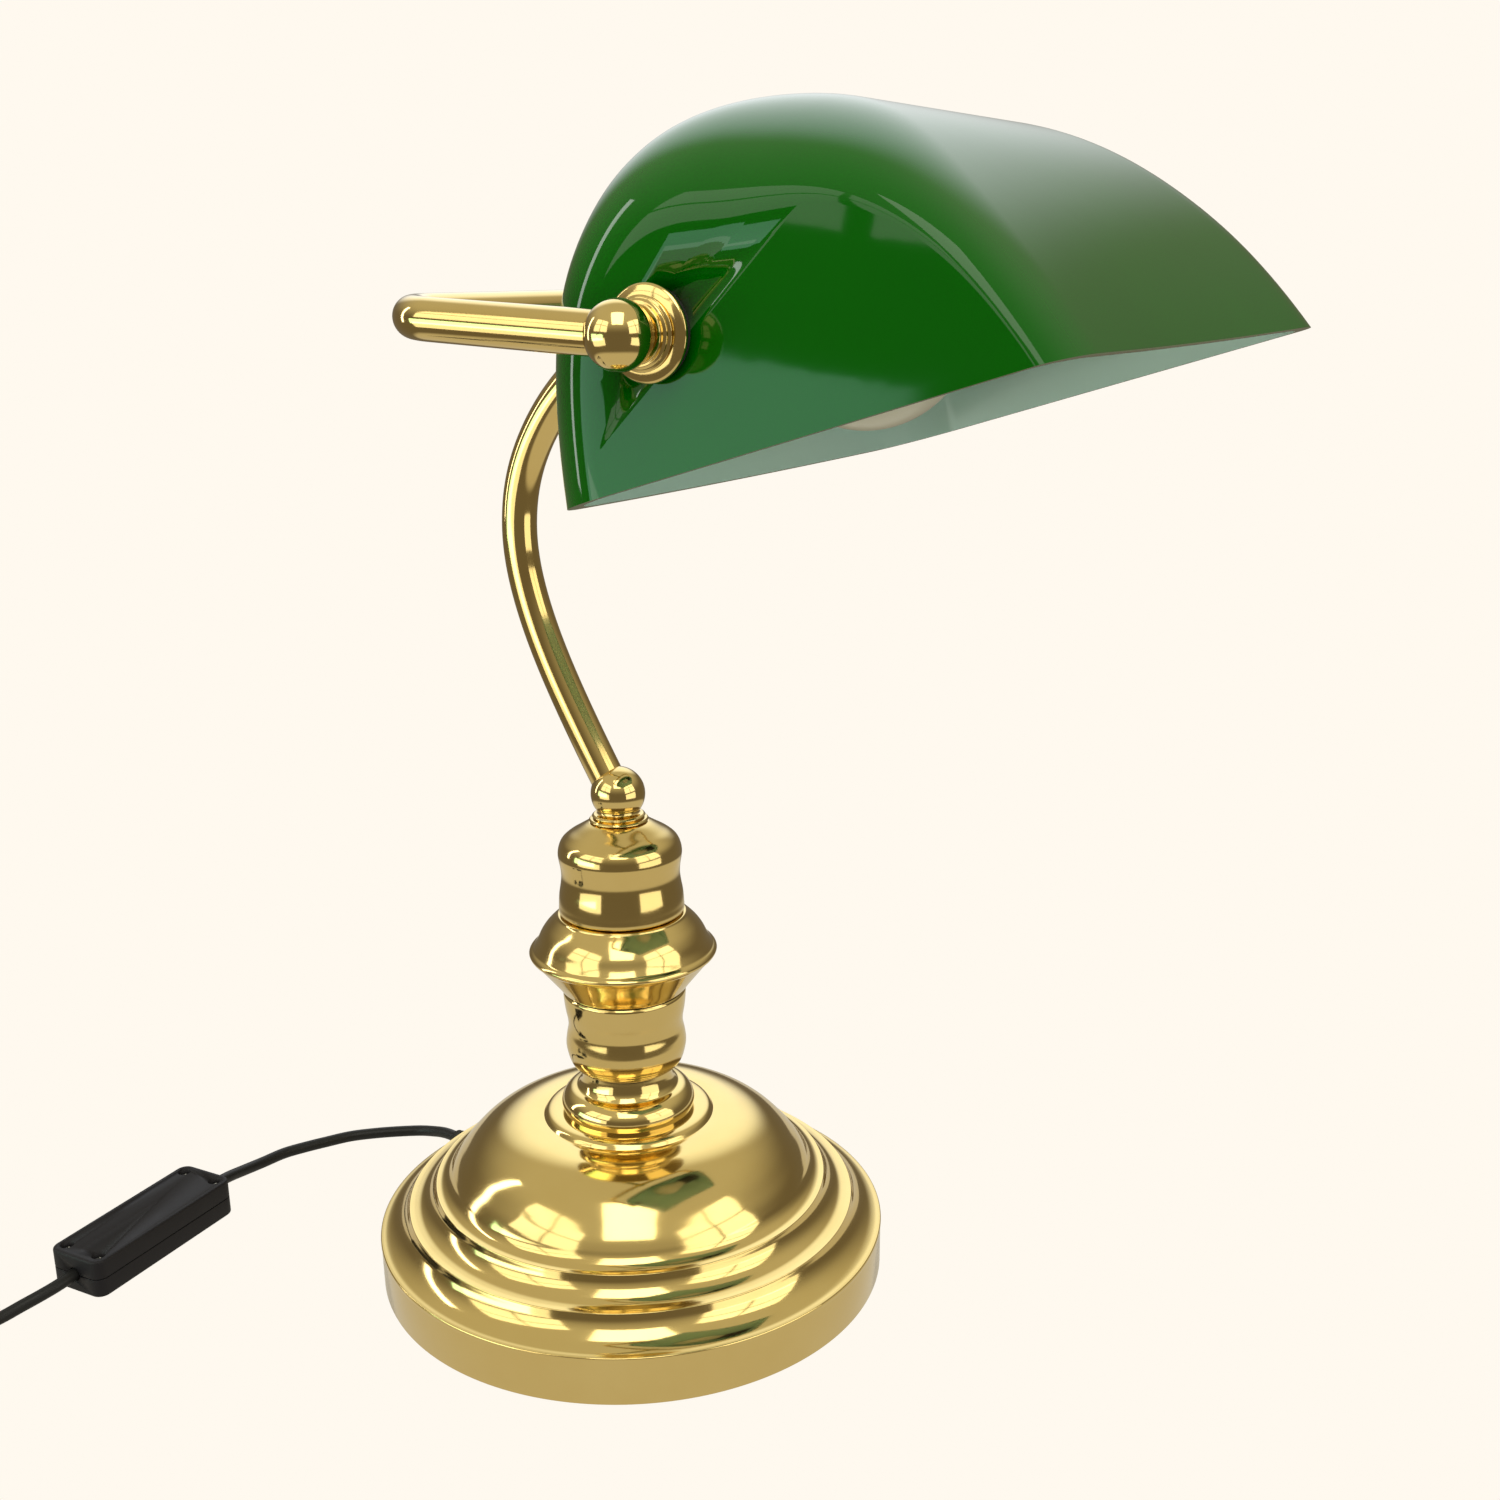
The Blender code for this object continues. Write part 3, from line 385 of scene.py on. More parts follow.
@dataclass(frozen=True)
class Finish:
    """One real finish: a base colour that drifts towards a second one, and a surface grain.

    Attributes:
        name: What the finish is.
        slot: A material slot name, for finishes of new pieces; not used.
        colour: Main colour.
        drift: Colour it varies towards.
        roughness: Lowest and highest roughness.
        patch: Size of the colour and roughness patches, in millimetres.
        grain: Size of the surface relief, in millimetres.
        relief: Height of the relief, in millimetres.
        metallic: 1 for bare metal.
        stretch: How much the grain is drawn out along X, Y and Z.
        sockets: Constant values set straight on the shader.
    """

    name: str
    slot: str
    colour: str
    drift: str
    roughness: tuple
    patch: float
    grain: float
    relief: float
    metallic: float = 0.0
    stretch: tuple = (1.0, 1.0, 1.0)
    sockets: dict = field(default_factory=dict)

    def material(self) -> bpy.types.Material:
        """Return the Blender material, made once."""
        found = bpy.data.materials.get(self.name)
        if found:
            return found
        made = bpy.data.materials.new(self.name)
        made.use_nodes = True
        made.diffuse_color = linear(self.colour)
        tree = made.node_tree
        shader = tree.nodes["Principled BSDF"]
        place = add_node(tree, "TexCoord").outputs["Object"]
        patches = add_node(tree, "TexNoise", {"noise_dimensions": "3D"},
                           {"Vector": place, "Scale": 1.0 / (self.patch * MM), "Detail": 4.0, "Roughness": 0.55})
        tint = add_node(tree, "Mix", {"data_type": "RGBA"},
                        {"Factor": patches.outputs["Fac"], "A": linear(self.colour), "B": linear(self.drift)})
        gloss = add_node(tree, "MapRange", {},
                         {"Value": patches.outputs["Fac"], "From Min": 0.3, "From Max": 0.7,
                          "To Min": self.roughness[0], "To Max": self.roughness[1]})
        drawn = add_node(tree, "Mapping", {}, {"Vector": place, "Scale": self.stretch})
        grain = add_node(tree, "TexNoise", {"noise_dimensions": "3D"},
                         {"Vector": drawn.outputs["Vector"], "Scale": 1.0 / (self.grain * MM), "Detail": 3.0})
        bump = add_node(tree, "Bump", {},
                        {"Height": grain.outputs["Fac"], "Distance": self.relief * MM, "Strength": 1.0})
        tree.links.new(tint.outputs["Result"], shader.inputs["Base Color"])
        tree.links.new(gloss.outputs["Result"], shader.inputs["Roughness"])
        tree.links.new(bump.outputs["Normal"], shader.inputs["Normal"])
        shader.inputs["Metallic"].default_value = self.metallic
        for socket, value in self.sockets.items():
            shader.inputs[socket].default_value = value
        return made


# Spun and turned brass, polished and lacquered: warm mirror with faint rings left by the lathe.
BRASS = Finish("lacquered_brass", "polished_brass", "#E9D18C", "#DFC379", roughness=(0.07, 0.13), patch=30.0,
    grain=2.2, relief=0.003, metallic=1.0, stretch=(1.0, 1.0, 6.0), sockets={"Coat Weight": 0.2,
    "Coat Roughness": 0.05})
# Drawn brass tube under the same lacquer: smoother, with no lathe rings.
BRASS_TUBE = Finish("lacquered_brass_tube", "polished_brass", "#E8D08A", "#DDC076", roughness=(0.06, 0.11),
    patch=24.0, grain=5.0, relief=0.003, metallic=1.0, sockets={"Coat Weight": 0.2, "Coat Roughness": 0.04})
# Cased glass, the green outer layer: deep saturated gloss with the slight waviness of blown glass.
GREEN_CASING = Finish("cased_green_glass", "green_glass", "#006400", "#005800", roughness=(0.03, 0.06), patch=60.0,
    grain=38.0, relief=0.05, sockets={"IOR": 1.52, "Specular IOR Level": 0.32})
# Cased glass, the white lining seen with green behind it: pale sage, glossy.
SAGE_LINING = Finish("opal_lining_glass", "green_glass", "#C6EAE2", "#BCE2D8", roughness=(0.10, 0.18), patch=50.0,
    grain=30.0, relief=0.03, sockets={"IOR": 1.52})
# Opal bulb glass: milky white with a soft gloss.
OPAL = Finish("opal_bulb_glass", "opal_glass", "#DADCCB", "#D2D4C3", roughness=(0.16, 0.24), patch=20.0, grain=12.0,
    relief=0.01, sockets={"IOR": 1.5, "Subsurface Weight": 0.15, "Subsurface Radius": (0.004, 0.004, 0.003)})
# Phenolic plastic of the lampholder: near-black, moulded, semi-gloss.
PHENOLIC = Finish("black_phenolic", "black_plastic", "#161514", "#1D1C1B", roughness=(0.28, 0.4), patch=8.0,
    grain=0.9, relief=0.01)
# Moulded ABS of the switch and plug: dark with a fine spark-eroded grain, drawn coarser than real so that it shows.
BLACK_ABS = Finish("moulded_black_abs", "black_plastic", "#0D0B11", "#100E15", roughness=(0.52, 0.58), patch=9.0,
    grain=0.7, relief=0.006, sockets={"Specular IOR Level": 0.3})
# PVC cord sheath: extruded, soft sheen.
PVC = Finish("black_pvc_sheath", "black_cord", "#0A0B0C", "#101112", roughness=(0.42, 0.52), patch=9.0, grain=1.6,
    relief=0.004, sockets={"Specular IOR Level": 0.35})
# Rubber of washers and strain relief: matt.
RUBBER = Finish("black_rubber", "black_rubber", "#171717", "#202020", roughness=(0.65, 0.8), patch=5.0, grain=0.6,
    relief=0.015)
# Pressed wool felt: fibres show as a soft, uneven nap.
FELT = Finish("pressed_green_felt", "", "#1E4A28", "#2A5B35", roughness=(0.9, 1.0), patch=3.0, grain=0.7,
    relief=0.25, sockets={"Sheen Weight": 0.5, "Sheen Roughness": 0.5})
# Sand-cast iron of the weight: dark and pitted.
IRON = Finish("sand_cast_iron", "", "#2B2B2D", "#3A3431", roughness=(0.6, 0.78), patch=12.0, grain=1.4, relief=0.12,
    metallic=0.7)
# Zinc-plated steel of rods, nuts, washers and screws.
ZINC = Finish("zinc_plated_steel", "zinc_steel", "#B9BBB8", "#A9ABA6", roughness=(0.25, 0.38), patch=6.0, grain=0.8,
    relief=0.008, metallic=1.0)
# Glazed porcelain of the lampholder's insert.
PORCELAIN = Finish("glazed_porcelain", "", "#E9E6DC", "#E1DDD0", roughness=(0.12, 0.2), patch=10.0, grain=5.0,
    relief=0.01)
# Nickel-plated brass of the plug's pins and the bulb's cap.
NICKEL = Finish("nickel_plate", "zinc_steel", "#C9C4B8", "#BCB6A8", roughness=(0.15, 0.25), patch=8.0, grain=1.5,
    relief=0.004, metallic=1.0)

CAD_FINISHES = {
    "felt_pad": FELT, "base_weight": IRON, "cord_clamp": ZINC, "threaded_rod": ZINC, "rod_washer": ZINC,
    "rod_nut": ZINC, "inner_flex": PVC, "inner_washer_left": RUBBER, "inner_washer_right": RUBBER,
    "clamp_nut_left": ZINC, "nipple_left": ZINC, "nipple_right": ZINC, "holder_insert": PORCELAIN,
    "holder_contact": BRASS, "screw_shell": BRASS, "switch_rocker": BLACK_ABS, "rocker_pin": ZINC,
    "switch_contacts": BRASS,
}


# ---- studio ----


@dataclass
class Studio:
    """Camera, pale floor and soft lights."""

    eye: tuple = (-0.47908, -0.35561, 0.37354)
    yaw: float = 33.27          # degrees from +X
    pitch: float = 16.65        # degrees down
    roll: float = -1.03
    lens: float = 40.44
    sensor: float = 36.0
    shift: tuple = (0.0259, 0.0221)
    paper: str = "#FFF9EF"      # floor and backdrop as seen
    table: str = "#CFC8B8"      # the floor round the lamp, to every ray but the camera's own
    wall: str = "#756C5D"       # the room at eye level, and the floor past the table
    backdrop: str = "#F2F5F8"   # bright sheet behind the lamp
    backdrop_glow: float = 1.6
    behind: tuple = (0.70, 0.46, 0.55)      # the backdrop's direction from the lamp
    behind_edge: tuple = (0.82, 1.0)        # its soft edge, as cosines from that direction
    ceiling: str = "#CDC6B0"
    ceiling_edge: tuple = (0.12, 0.8)       # sines of the heights between which wall turns to ceiling
    table_edge: tuple = (0.38, 0.5)         # soft edge of the table, in metres from the lamp
    daylight: str = "#FFFCF2"
    floor_half: float = 6.0     # half the floor's side, in metres
    distance: float = 1.5       # of the windows, in metres
    bar: float = 0.05           # between a window's panes

    def add_camera(self) -> None:
        """Add the camera from its place and angles, and make it the scene's."""
        yaw, pitch, roll = (math.radians(v) for v in (self.yaw, self.pitch, self.roll))
        ahead = Vector((math.cos(yaw) * math.cos(pitch), math.sin(yaw) * math.cos(pitch), -math.sin(pitch)))
        level = Vector((math.sin(yaw), -math.cos(yaw), 0.0))
        upright = level.cross(ahead)
        right = math.cos(roll) * level + math.sin(roll) * upright
        up = math.cos(roll) * upright - math.sin(roll) * level
        lens = bpy.data.cameras.new("camera")
        lens.lens, lens.sensor_width = self.lens, self.sensor
        lens.shift_x, lens.shift_y = self.shift
        lens.clip_start, lens.clip_end = 0.01, 50.0
        camera = add_object("camera", lens)
        camera.matrix_world = Matrix.Translation(self.eye) @ Matrix((right, up, -ahead)).transposed().to_4x4()
        bpy.context.scene.camera = camera

    @staticmethod
    def add_softbox(name: str, place: tuple, target: tuple, size: tuple, glow: float, colour: str) -> None:
        """Add a rectangular soft light facing a target.

        Args:
            name: The light's name.
            place: Its middle, in metres.
            target: The point it faces, in metres.
            size: Its width and height, in metres.
            glow: Its brightness; the power is glow * pi * area.
            colour: Its colour.
        """
        light = bpy.data.lights.new(name, "AREA")
        light.shape, light.size, light.size_y = "RECTANGLE", *size
        light.energy, light.color = glow * math.pi * size[0] * size[1], linear(colour)[:3]
        lamp = add_object(name, light)
        lamp.location = place
        lamp.visible_camera = False
        lamp.rotation_euler = (Vector(target) - Vector(place)).to_track_quat("-Z", "Y").to_euler()

    def add_window(self, name: str, bearing: float, height: float, size: tuple, glow: float) -> None:
        """Add a soft light of four panes, upright, on a bearing in degrees from +X, facing the lamp."""
        angle = math.radians(bearing)
        outward = Vector((math.cos(angle), math.sin(angle), 0.0))
        across = Vector((-math.sin(angle), math.cos(angle), 0.0))
        pane = (0.5 * (size[0] - self.bar), 0.5 * (size[1] - self.bar))
        aside = 0.5 * (pane[0] + self.bar) * across
        aloft = Vector((0.0, 0.0, 0.5 * (pane[1] + self.bar)))
        for index, (side, level) in enumerate(product((-1, 1), repeat=2), start=1):
            place = self.distance * outward + Vector((0.0, 0.0, height)) + side * aside + level * aloft
            self.add_softbox(f"{name}_{index}", place, place - outward, pane, glow, self.daylight)

    @staticmethod
    def add_blend(tree: bpy.types.NodeTree, value: bpy.types.NodeSocket, limits: tuple, ends: tuple,
                  easing: str = "SMOOTHSTEP") -> bpy.types.NodeSocket:
        """Return a colour that eases from one end to the other as a value passes between two limits."""
        share = add_node(tree, "MapRange", {"interpolation_type": easing},
                         {"Value": value, "From Min": limits[0], "From Max": limits[1]})
        mixed = add_node(tree, "Mix", {"data_type": "RGBA"},
                         {"Factor": share.outputs["Result"], "A": ends[0], "B": ends[1]})
        return mixed.outputs["Result"]

    def finish_tree(self, tree: bpy.types.NodeTree, shader: str, output: str, room: bpy.types.NodeSocket) -> None:
        """End a tree in plain paper for the camera's own rays and in the room's colour for all others."""
        seen = add_node(tree, shader, {}, {"Color": linear(self.paper), "Strength": 1.0})
        lit = add_node(tree, shader, {}, {"Color": room, "Strength": 1.0})
        path = add_node(tree, "LightPath")
        both = add_node(tree, "MixShader", {},
                        {0: path.outputs["Is Camera Ray"], 1: lit.outputs[0], 2: seen.outputs[0]})
        add_node(tree, output, {}, {"Surface": both.outputs[0]})

    def add_world(self) -> None:
        """Add the world: a wall that pales to the ceiling upwards, with a bright sheet behind the lamp."""
        world = bpy.data.worlds.new("studio")
        bpy.context.scene.world = world
        world.use_nodes = True
        tree = world.node_tree
        tree.nodes.clear()
        way = add_node(tree, "TexCoord").outputs["Generated"]
        height = add_node(tree, "SeparateXYZ", {}, {"Vector": way}).outputs["Z"]
        room = self.add_blend(tree, height, self.ceiling_edge, (linear(self.wall), linear(self.ceiling)))
        near = add_node(tree, "VectorMath", {"operation": "DOT_PRODUCT"}, {0: way, 1: self.behind})
        bright = tuple(self.backdrop_glow * part for part in linear(self.backdrop))
        room = self.add_blend(tree, near.outputs["Value"], self.behind_edge, (room, bright), "SMOOTHERSTEP")
        self.finish_tree(tree, "Background", "OutputWorld", room)

    def add_floor(self) -> None:
        """Add the pale floor: a table's colour round the lamp, and the wall's beyond it."""
        half = self.floor_half
        mesh = bpy.data.meshes.new("floor")
        mesh.from_pydata([(-half, -half, 0.0), (half, -half, 0.0), (half, half, 0.0), (-half, half, 0.0)], [],
                         [(0, 1, 2, 3)])
        floor = add_object("floor", mesh)
        paper = bpy.data.materials.new("seamless_paper")
        paper.use_nodes = True
        tree = paper.node_tree
        tree.nodes.clear()
        place = add_node(tree, "TexCoord").outputs["Object"]
        reach = add_node(tree, "VectorMath", {"operation": "LENGTH"}, {0: place})
        ground = self.add_blend(tree, reach.outputs["Value"], self.table_edge,
                                (linear(self.table), linear(self.wall)))
        self.finish_tree(tree, "Emission", "OutputMaterial", ground)
        mesh.materials.append(paper)

    def add_lights(self) -> None:
        """Add the two windows and a high one, the bright sills below them, a strip behind and a pale low wall."""
        lamp = (0.0, -0.02, 0.25)
        low = (0.0, 0.0, 0.15)
        self.add_window("left_window", 158.0, 1.15, (1.3, 1.0), 1.5)
        self.add_window("right_window", 272.0, 1.05, (1.35, 1.1), 1.6)
        self.add_softbox("high_window", (-0.68, -0.46, 1.34), lamp, (0.72, 0.9), 2.6, self.daylight)
        self.add_softbox("left_sill", (-0.70, 0.30, 0.15), low, (0.62, 0.27), 1.4, self.daylight)
        self.add_softbox("right_sill", (0.03, -0.76, 0.15), low, (0.62, 0.27), 1.4, self.daylight)
        self.add_softbox("left_strip", (-0.46, 1.42, 0.7), lamp, (0.14, 1.2), 4.5, "#FFFFFF")
        self.add_softbox("low_wall", (-1.28, 0.82, 0.26), lamp, (1.2, 0.42), 3.1, "#B4E8D4")
        bpy.context.scene.view_settings.view_transform = "Standard"
        bpy.context.scene.view_settings.look = "None"


# ---- cords ----


@dataclass
class Cord:
    """The mains cord: from the base to the inline switch, then on through a stored coil to the plug.

    Attributes:
        to_switch: Points of the centre line from the base into the switch.
        to_coil: Points from the switch to the coil.
        to_plug: Points from the coil to the plug.
        turn_cells: Column and layer of each turn of the coil, in winding order.
    """

    to_switch: tuple = ((24.4, 115.0, 7.1), (26.3, 123.4, 5.9), (27.4, 131.0, 4.0), (26.6, 138.6, 2.6),
                        (20.8, 147.0, 2.5), (13.8, 155.2, 2.5), (6.0, 162.6, 2.5), (-4.0, 168.6, 2.5),
                        (-12.0, 173.0, 2.5), (-20.6, 176.9, 2.5), (-31.6, 178.8, 2.6), (-42.6, 178.4, 4.2),
                        (-53.6, 176.3, 6.7), (-64.2, 174.8, 7.75), (-76.3, 173.7, 7.8))
    to_coil: tuple = ((-125.1, 169.5, 7.8), (-137.2, 168.4, 7.75), (-145.0, 168.5, 7.0), (-152.0, 170.2, 5.7),
                      (-158.6, 172.4, 4.3), (-165.0, 174.2, 3.1), (-172.0, 176.0, 2.5), (-180.6, 179.2, 2.5),
                      (-190.6, 185.4, 2.5), (-200.6, 193.0, 2.5), (-211.0, 200.4, 2.6))
    to_plug: tuple = ((-213.0, 273.4, 11.6), (-201.6, 277.0, 9.8), (-191.0, 281.4, 8.3), (-183.0, 286.4, 8.0),
                      (-178.0, 289.0, 8.0))
    turn_cells: tuple = ((2, 0), (1, 0), (0, 0), (0, 1), (0, 2), (1, 2), (1, 1), (2, 1), (2, 2))
    inner_turn: float = 21.6    # radius of the innermost turns
    pitch: float = 4.9          # between neighbouring turns
    lowest: float = 2.9         # height of the lowest turns
    step: float = 6.0           # degrees between samples of the coil
    stretch: float = 96.0       # degrees over which a turn moves to its next cell
    lag: float = 34.0           # degrees by which each turn's stretch starts sooner than the last one's
    last_part: float = 172.0    # degrees of the turn that the coil ends on

    def lead_in(self) -> list:
        """Return the points inside the base, on the exit's axis."""
        return [EXIT_WAY * reach + EXIT for reach in (92.0, 99.0, 107.0)]

    def coil_path(self) -> np.ndarray:
        """Return the coil's centre line.

        Turn i runs clockwise from the near side at angle -90 degrees. It leaves its own cell for the next one
        over an eased stretch, and the stretches start sooner from one turn to the next, so that a turn only
        moves into room that the one after it has left.
        """
        cell = np.array(self.turn_cells, dtype=float)
        turns = len(cell) - 1
        theta = np.arange(0.0, 360.0, self.step)
        ending = np.arange(0.0, self.last_part, self.step)
        parts = []
        for i in range(turns):
            share = np.clip((theta - self.lag * (turns - 1 - i)) / self.stretch, 0.0, 1.0)
            parts.append(cell[i] + (cell[i + 1] - cell[i]) * (0.5 - 0.5 * np.cos(math.pi * share))[:, None])
        cells = np.vstack([*parts, np.tile(cell[-1], (len(ending), 1))])
        run = np.concatenate([theta + 360.0 * i for i in range(turns)] + [360.0 * turns + ending])
        angle = np.radians(-90.0 - run)
        radius, height = (np.array([self.inner_turn, self.lowest]) + self.pitch * cells).T
        return np.stack([COIL_CENTRE[0] + radius * np.cos(angle), COIL_CENTRE[1] + radius * np.sin(angle), height],
                        axis=1)

    def build(self, on_switch: list, on_plug: list) -> None:
        first = smooth([*self.lead_in(), *self.to_switch], 5)
        second = np.vstack([smooth(self.to_coil, 5), self.coil_path()[2:], smooth(self.to_plug, 5)])
        second = smooth(second[::2], 3)
        near = make_piece("cord_base_to_switch", swept(first, CORD_RADIUS, UP, 20), (PVC,), ("cord_to_switch",))
        far = make_piece("cord_switch_to_plug", swept(second, CORD_RADIUS, UP, 16), (PVC,),
                         ("cord_to_coil", "cord_coil", "cord_to_plug"))

    def build_tie(self) -> bpy.types.Object:
        """Build the tie: a flat band round the coil's bundle on its far side."""
        half = self.pitch + CORD_RADIUS + 0.3
        middle = np.array([COIL_CENTRE[0] + self.inner_turn + self.pitch, COIL_CENTRE[1], self.lowest + self.pitch])
        loops = []
        for depth, along in ((0.0, -3.0), (0.0, 3.0), (0.5, 3.0), (0.5, -3.0)):
            inner = half - depth
            loops.append(standing_loop(2 * (inner + 0.4), 2 * (inner + 0.1), 2.6, along) + middle)
        stack = np.stack(loops)
        band = Surface(stack.reshape(-1, 3), grid_faces(*stack.shape[:2], True, True))
        return make_piece("cord_tie", band, (RUBBER,))

    def build_relief(self) -> None:
        """Build the rubber sleeve that holds the cord where it leaves the base, tapered and grooved."""
        inner = 3.0
        profile = [(inner, 89.0), (5.5, 89.0), (5.5, 96.4), (4.2, 96.4), (4.2, 99.0), (5.4, 99.0), (5.5, 99.4),
                   (5.4, 100.6)]
        for groove in range(5):
            start, size = 101.2 + 3.0 * groove, 4.9 - 0.28 * groove
            profile += [(size - 0.6, start - 0.3), (size, start + 0.3), (size, start + 1.6),
                        (size - 0.7, start + 2.2)]
        profile += [(3.5, 116.4), (inner, 116.4)]
        sleeve = turned(profile, 40).moved(EXIT, axis_turn(EXIT_WAY))
        make_piece("cord_strain_relief", sleeve, (RUBBER,), ("strain_relief",))


@dataclass
class InlineSwitch:
    """The inline switch: two moulded halves and four screws; its rocker faces the floor."""

    length: float = 73.2
    width: float = 26.8
    height: float = 15.6
    corner: float = 4.5
    gap: float = 0.15           # of each half from the split
    screw: tuple = (31.3, 8.5)  # place of a screw, from the middle
    pocket: tuple = (25.0, 10.4)    # half the hollow inside
    window: tuple = (10.2, 5.3)     # half the rocker's opening

    def placed(self, surface: Surface) -> Surface:
        """Return a surface moved from the switch's own frame to the floor."""
        return surface.moved((*SWITCH_CENTRE, 0.0), flat_turn(SWITCH_TURN))

    def tunnel(self) -> Surface:
        """Return the round tunnel for the cord, along the length."""
        return self.placed(rod(2.8, -45.0, 45.0).moved((0.0, 0.0, SWITCH_MIDDLE), axis_turn(X_AXIS)))

    def box(self, half: tuple, low: float, high: float) -> Surface:
        """Return a plain pocket cutter."""
        return self.placed(block(2 * half[0], 2 * half[1], 0.4, low, high, (0.05, 0.05)))

    def half(self, low: float, high: float, edge: tuple) -> Surface:
        """Return the outside of one moulded half."""
        return self.placed(block(self.length, self.width, self.corner, low, high, edge))

    def build_screw(self, name: str, node: str, spot: tuple) -> bpy.types.Object:
        """Build one cross-head screw, its two slots turned a little."""
        head = outline((AXIS, 3.0), (1.3, 3.0), (1.3, 11.8), (2.3, 11.8),
                       [(2.3, 12.8), (1.9, 13.5), (1.0, 13.7), (AXIS, 13.7)])
        slots = tuple(self.placed(block(3.0, 0.6, 0.1, 12.8, 15.0, (0.02, 0.02)).moved(spot, flat_turn(turn)))
                      for turn in (0.5, 2.07))
        return make_piece(name, self.placed(turned_solid(head, 32).moved(spot)), (ZINC,), (node,), slots)

    def build(self) -> list:
        """Build the halves and screws, and return them all."""
        spots = [(x * self.screw[0], y * self.screw[1], 0.0) for x, y in product((-1, 1), repeat=2)]
        well = turned_solid([(1.6, 5.0), (1.6, 11.5), (2.7, 11.5), (2.7, 17.0)], 32)
        wells = [self.placed(well.moved(spot)) for spot in spots]
        pieces = [
            make_piece("switch_top_half", self.half(SWITCH_MIDDLE + self.gap, self.height, (0.25, 1.0)),
                       (BLACK_ABS,), ("switch_upper",), (self.box(self.pocket, 6.0, 13.8), self.tunnel(), *wells)),
            make_piece("switch_bottom_half", self.half(0.02, SWITCH_MIDDLE - self.gap, (1.0, 0.25)), (BLACK_ABS,),
                       ("switch_lower",),
                       (self.box(self.pocket, 1.8, 9.0), self.tunnel(), self.box(self.window, -1.0, 3.0))),
        ]
        for index, spot in enumerate(spots, start=1):
            pieces.append(self.build_screw(f"switch_housing_screw_{index}", f"switch_screw_{index}", spot))
        return pieces


@dataclass
class Plug:
    """Flat two-pin plug at the end of the cord.

    Attributes:
        stations: Place along the plug, width and depth of each section of the body, from the pins' face.
        pin_offset: Each pin's distance from the middle.
    """

    stations: tuple = ((-17.6, 34.0, 11.6), (-17.0, 35.2, 12.4), (-2.0, 35.2, 12.4), (8.0, 24.0, 11.6),
                       (15.0, 13.0, 9.4), (18.6, 8.6, 7.8), (19.4, 7.4, 7.0))
    pin_offset: float = 9.3

    def placed(self, surface: Surface) -> Surface:
        """Return a surface moved from the plug's own frame, cord end towards +Y, to the floor."""
        return surface.moved(PLUG_CENTRE, flat_turn(PLUG_TURN))

    def build(self) -> list:
        """Build the body and its pins, and return them."""
        towards_pins = axis_turn(np.array([0.0, -1.0, 0.0]))
        loops = [standing_loop(width, depth, 0.42 * depth, along)
                 for along, width, depth in (self.stations[0], *smooth(self.stations[1:]))]
        bore = rod(2.9, -24.0, -12.0).moved((0.0, 0.0, 0.0), towards_pins)
        pieces = [make_piece("plug_shell", self.placed(capped(np.stack(loops))), (BLACK_ABS,), ("plug_body",),
                             (self.placed(bore),))]
        pin = outline((AXIS, 0.0), (2.0, 0.0), (2.0, 17.4), [(1.7, 18.5), (0.9, 19.0), (AXIS, 19.0)])
        for index, side in enumerate(Side, start=1):
            shape = turned_solid(pin, 32).moved((side.value * self.pin_offset, -17.9, 0.0), towards_pins)
            pieces.append(make_piece(f"plug_contact_pin_{index}", self.placed(shape), (NICKEL,),
                                     (f"plug_pin_{index}",)))
        return pieces


# ---- stand ----


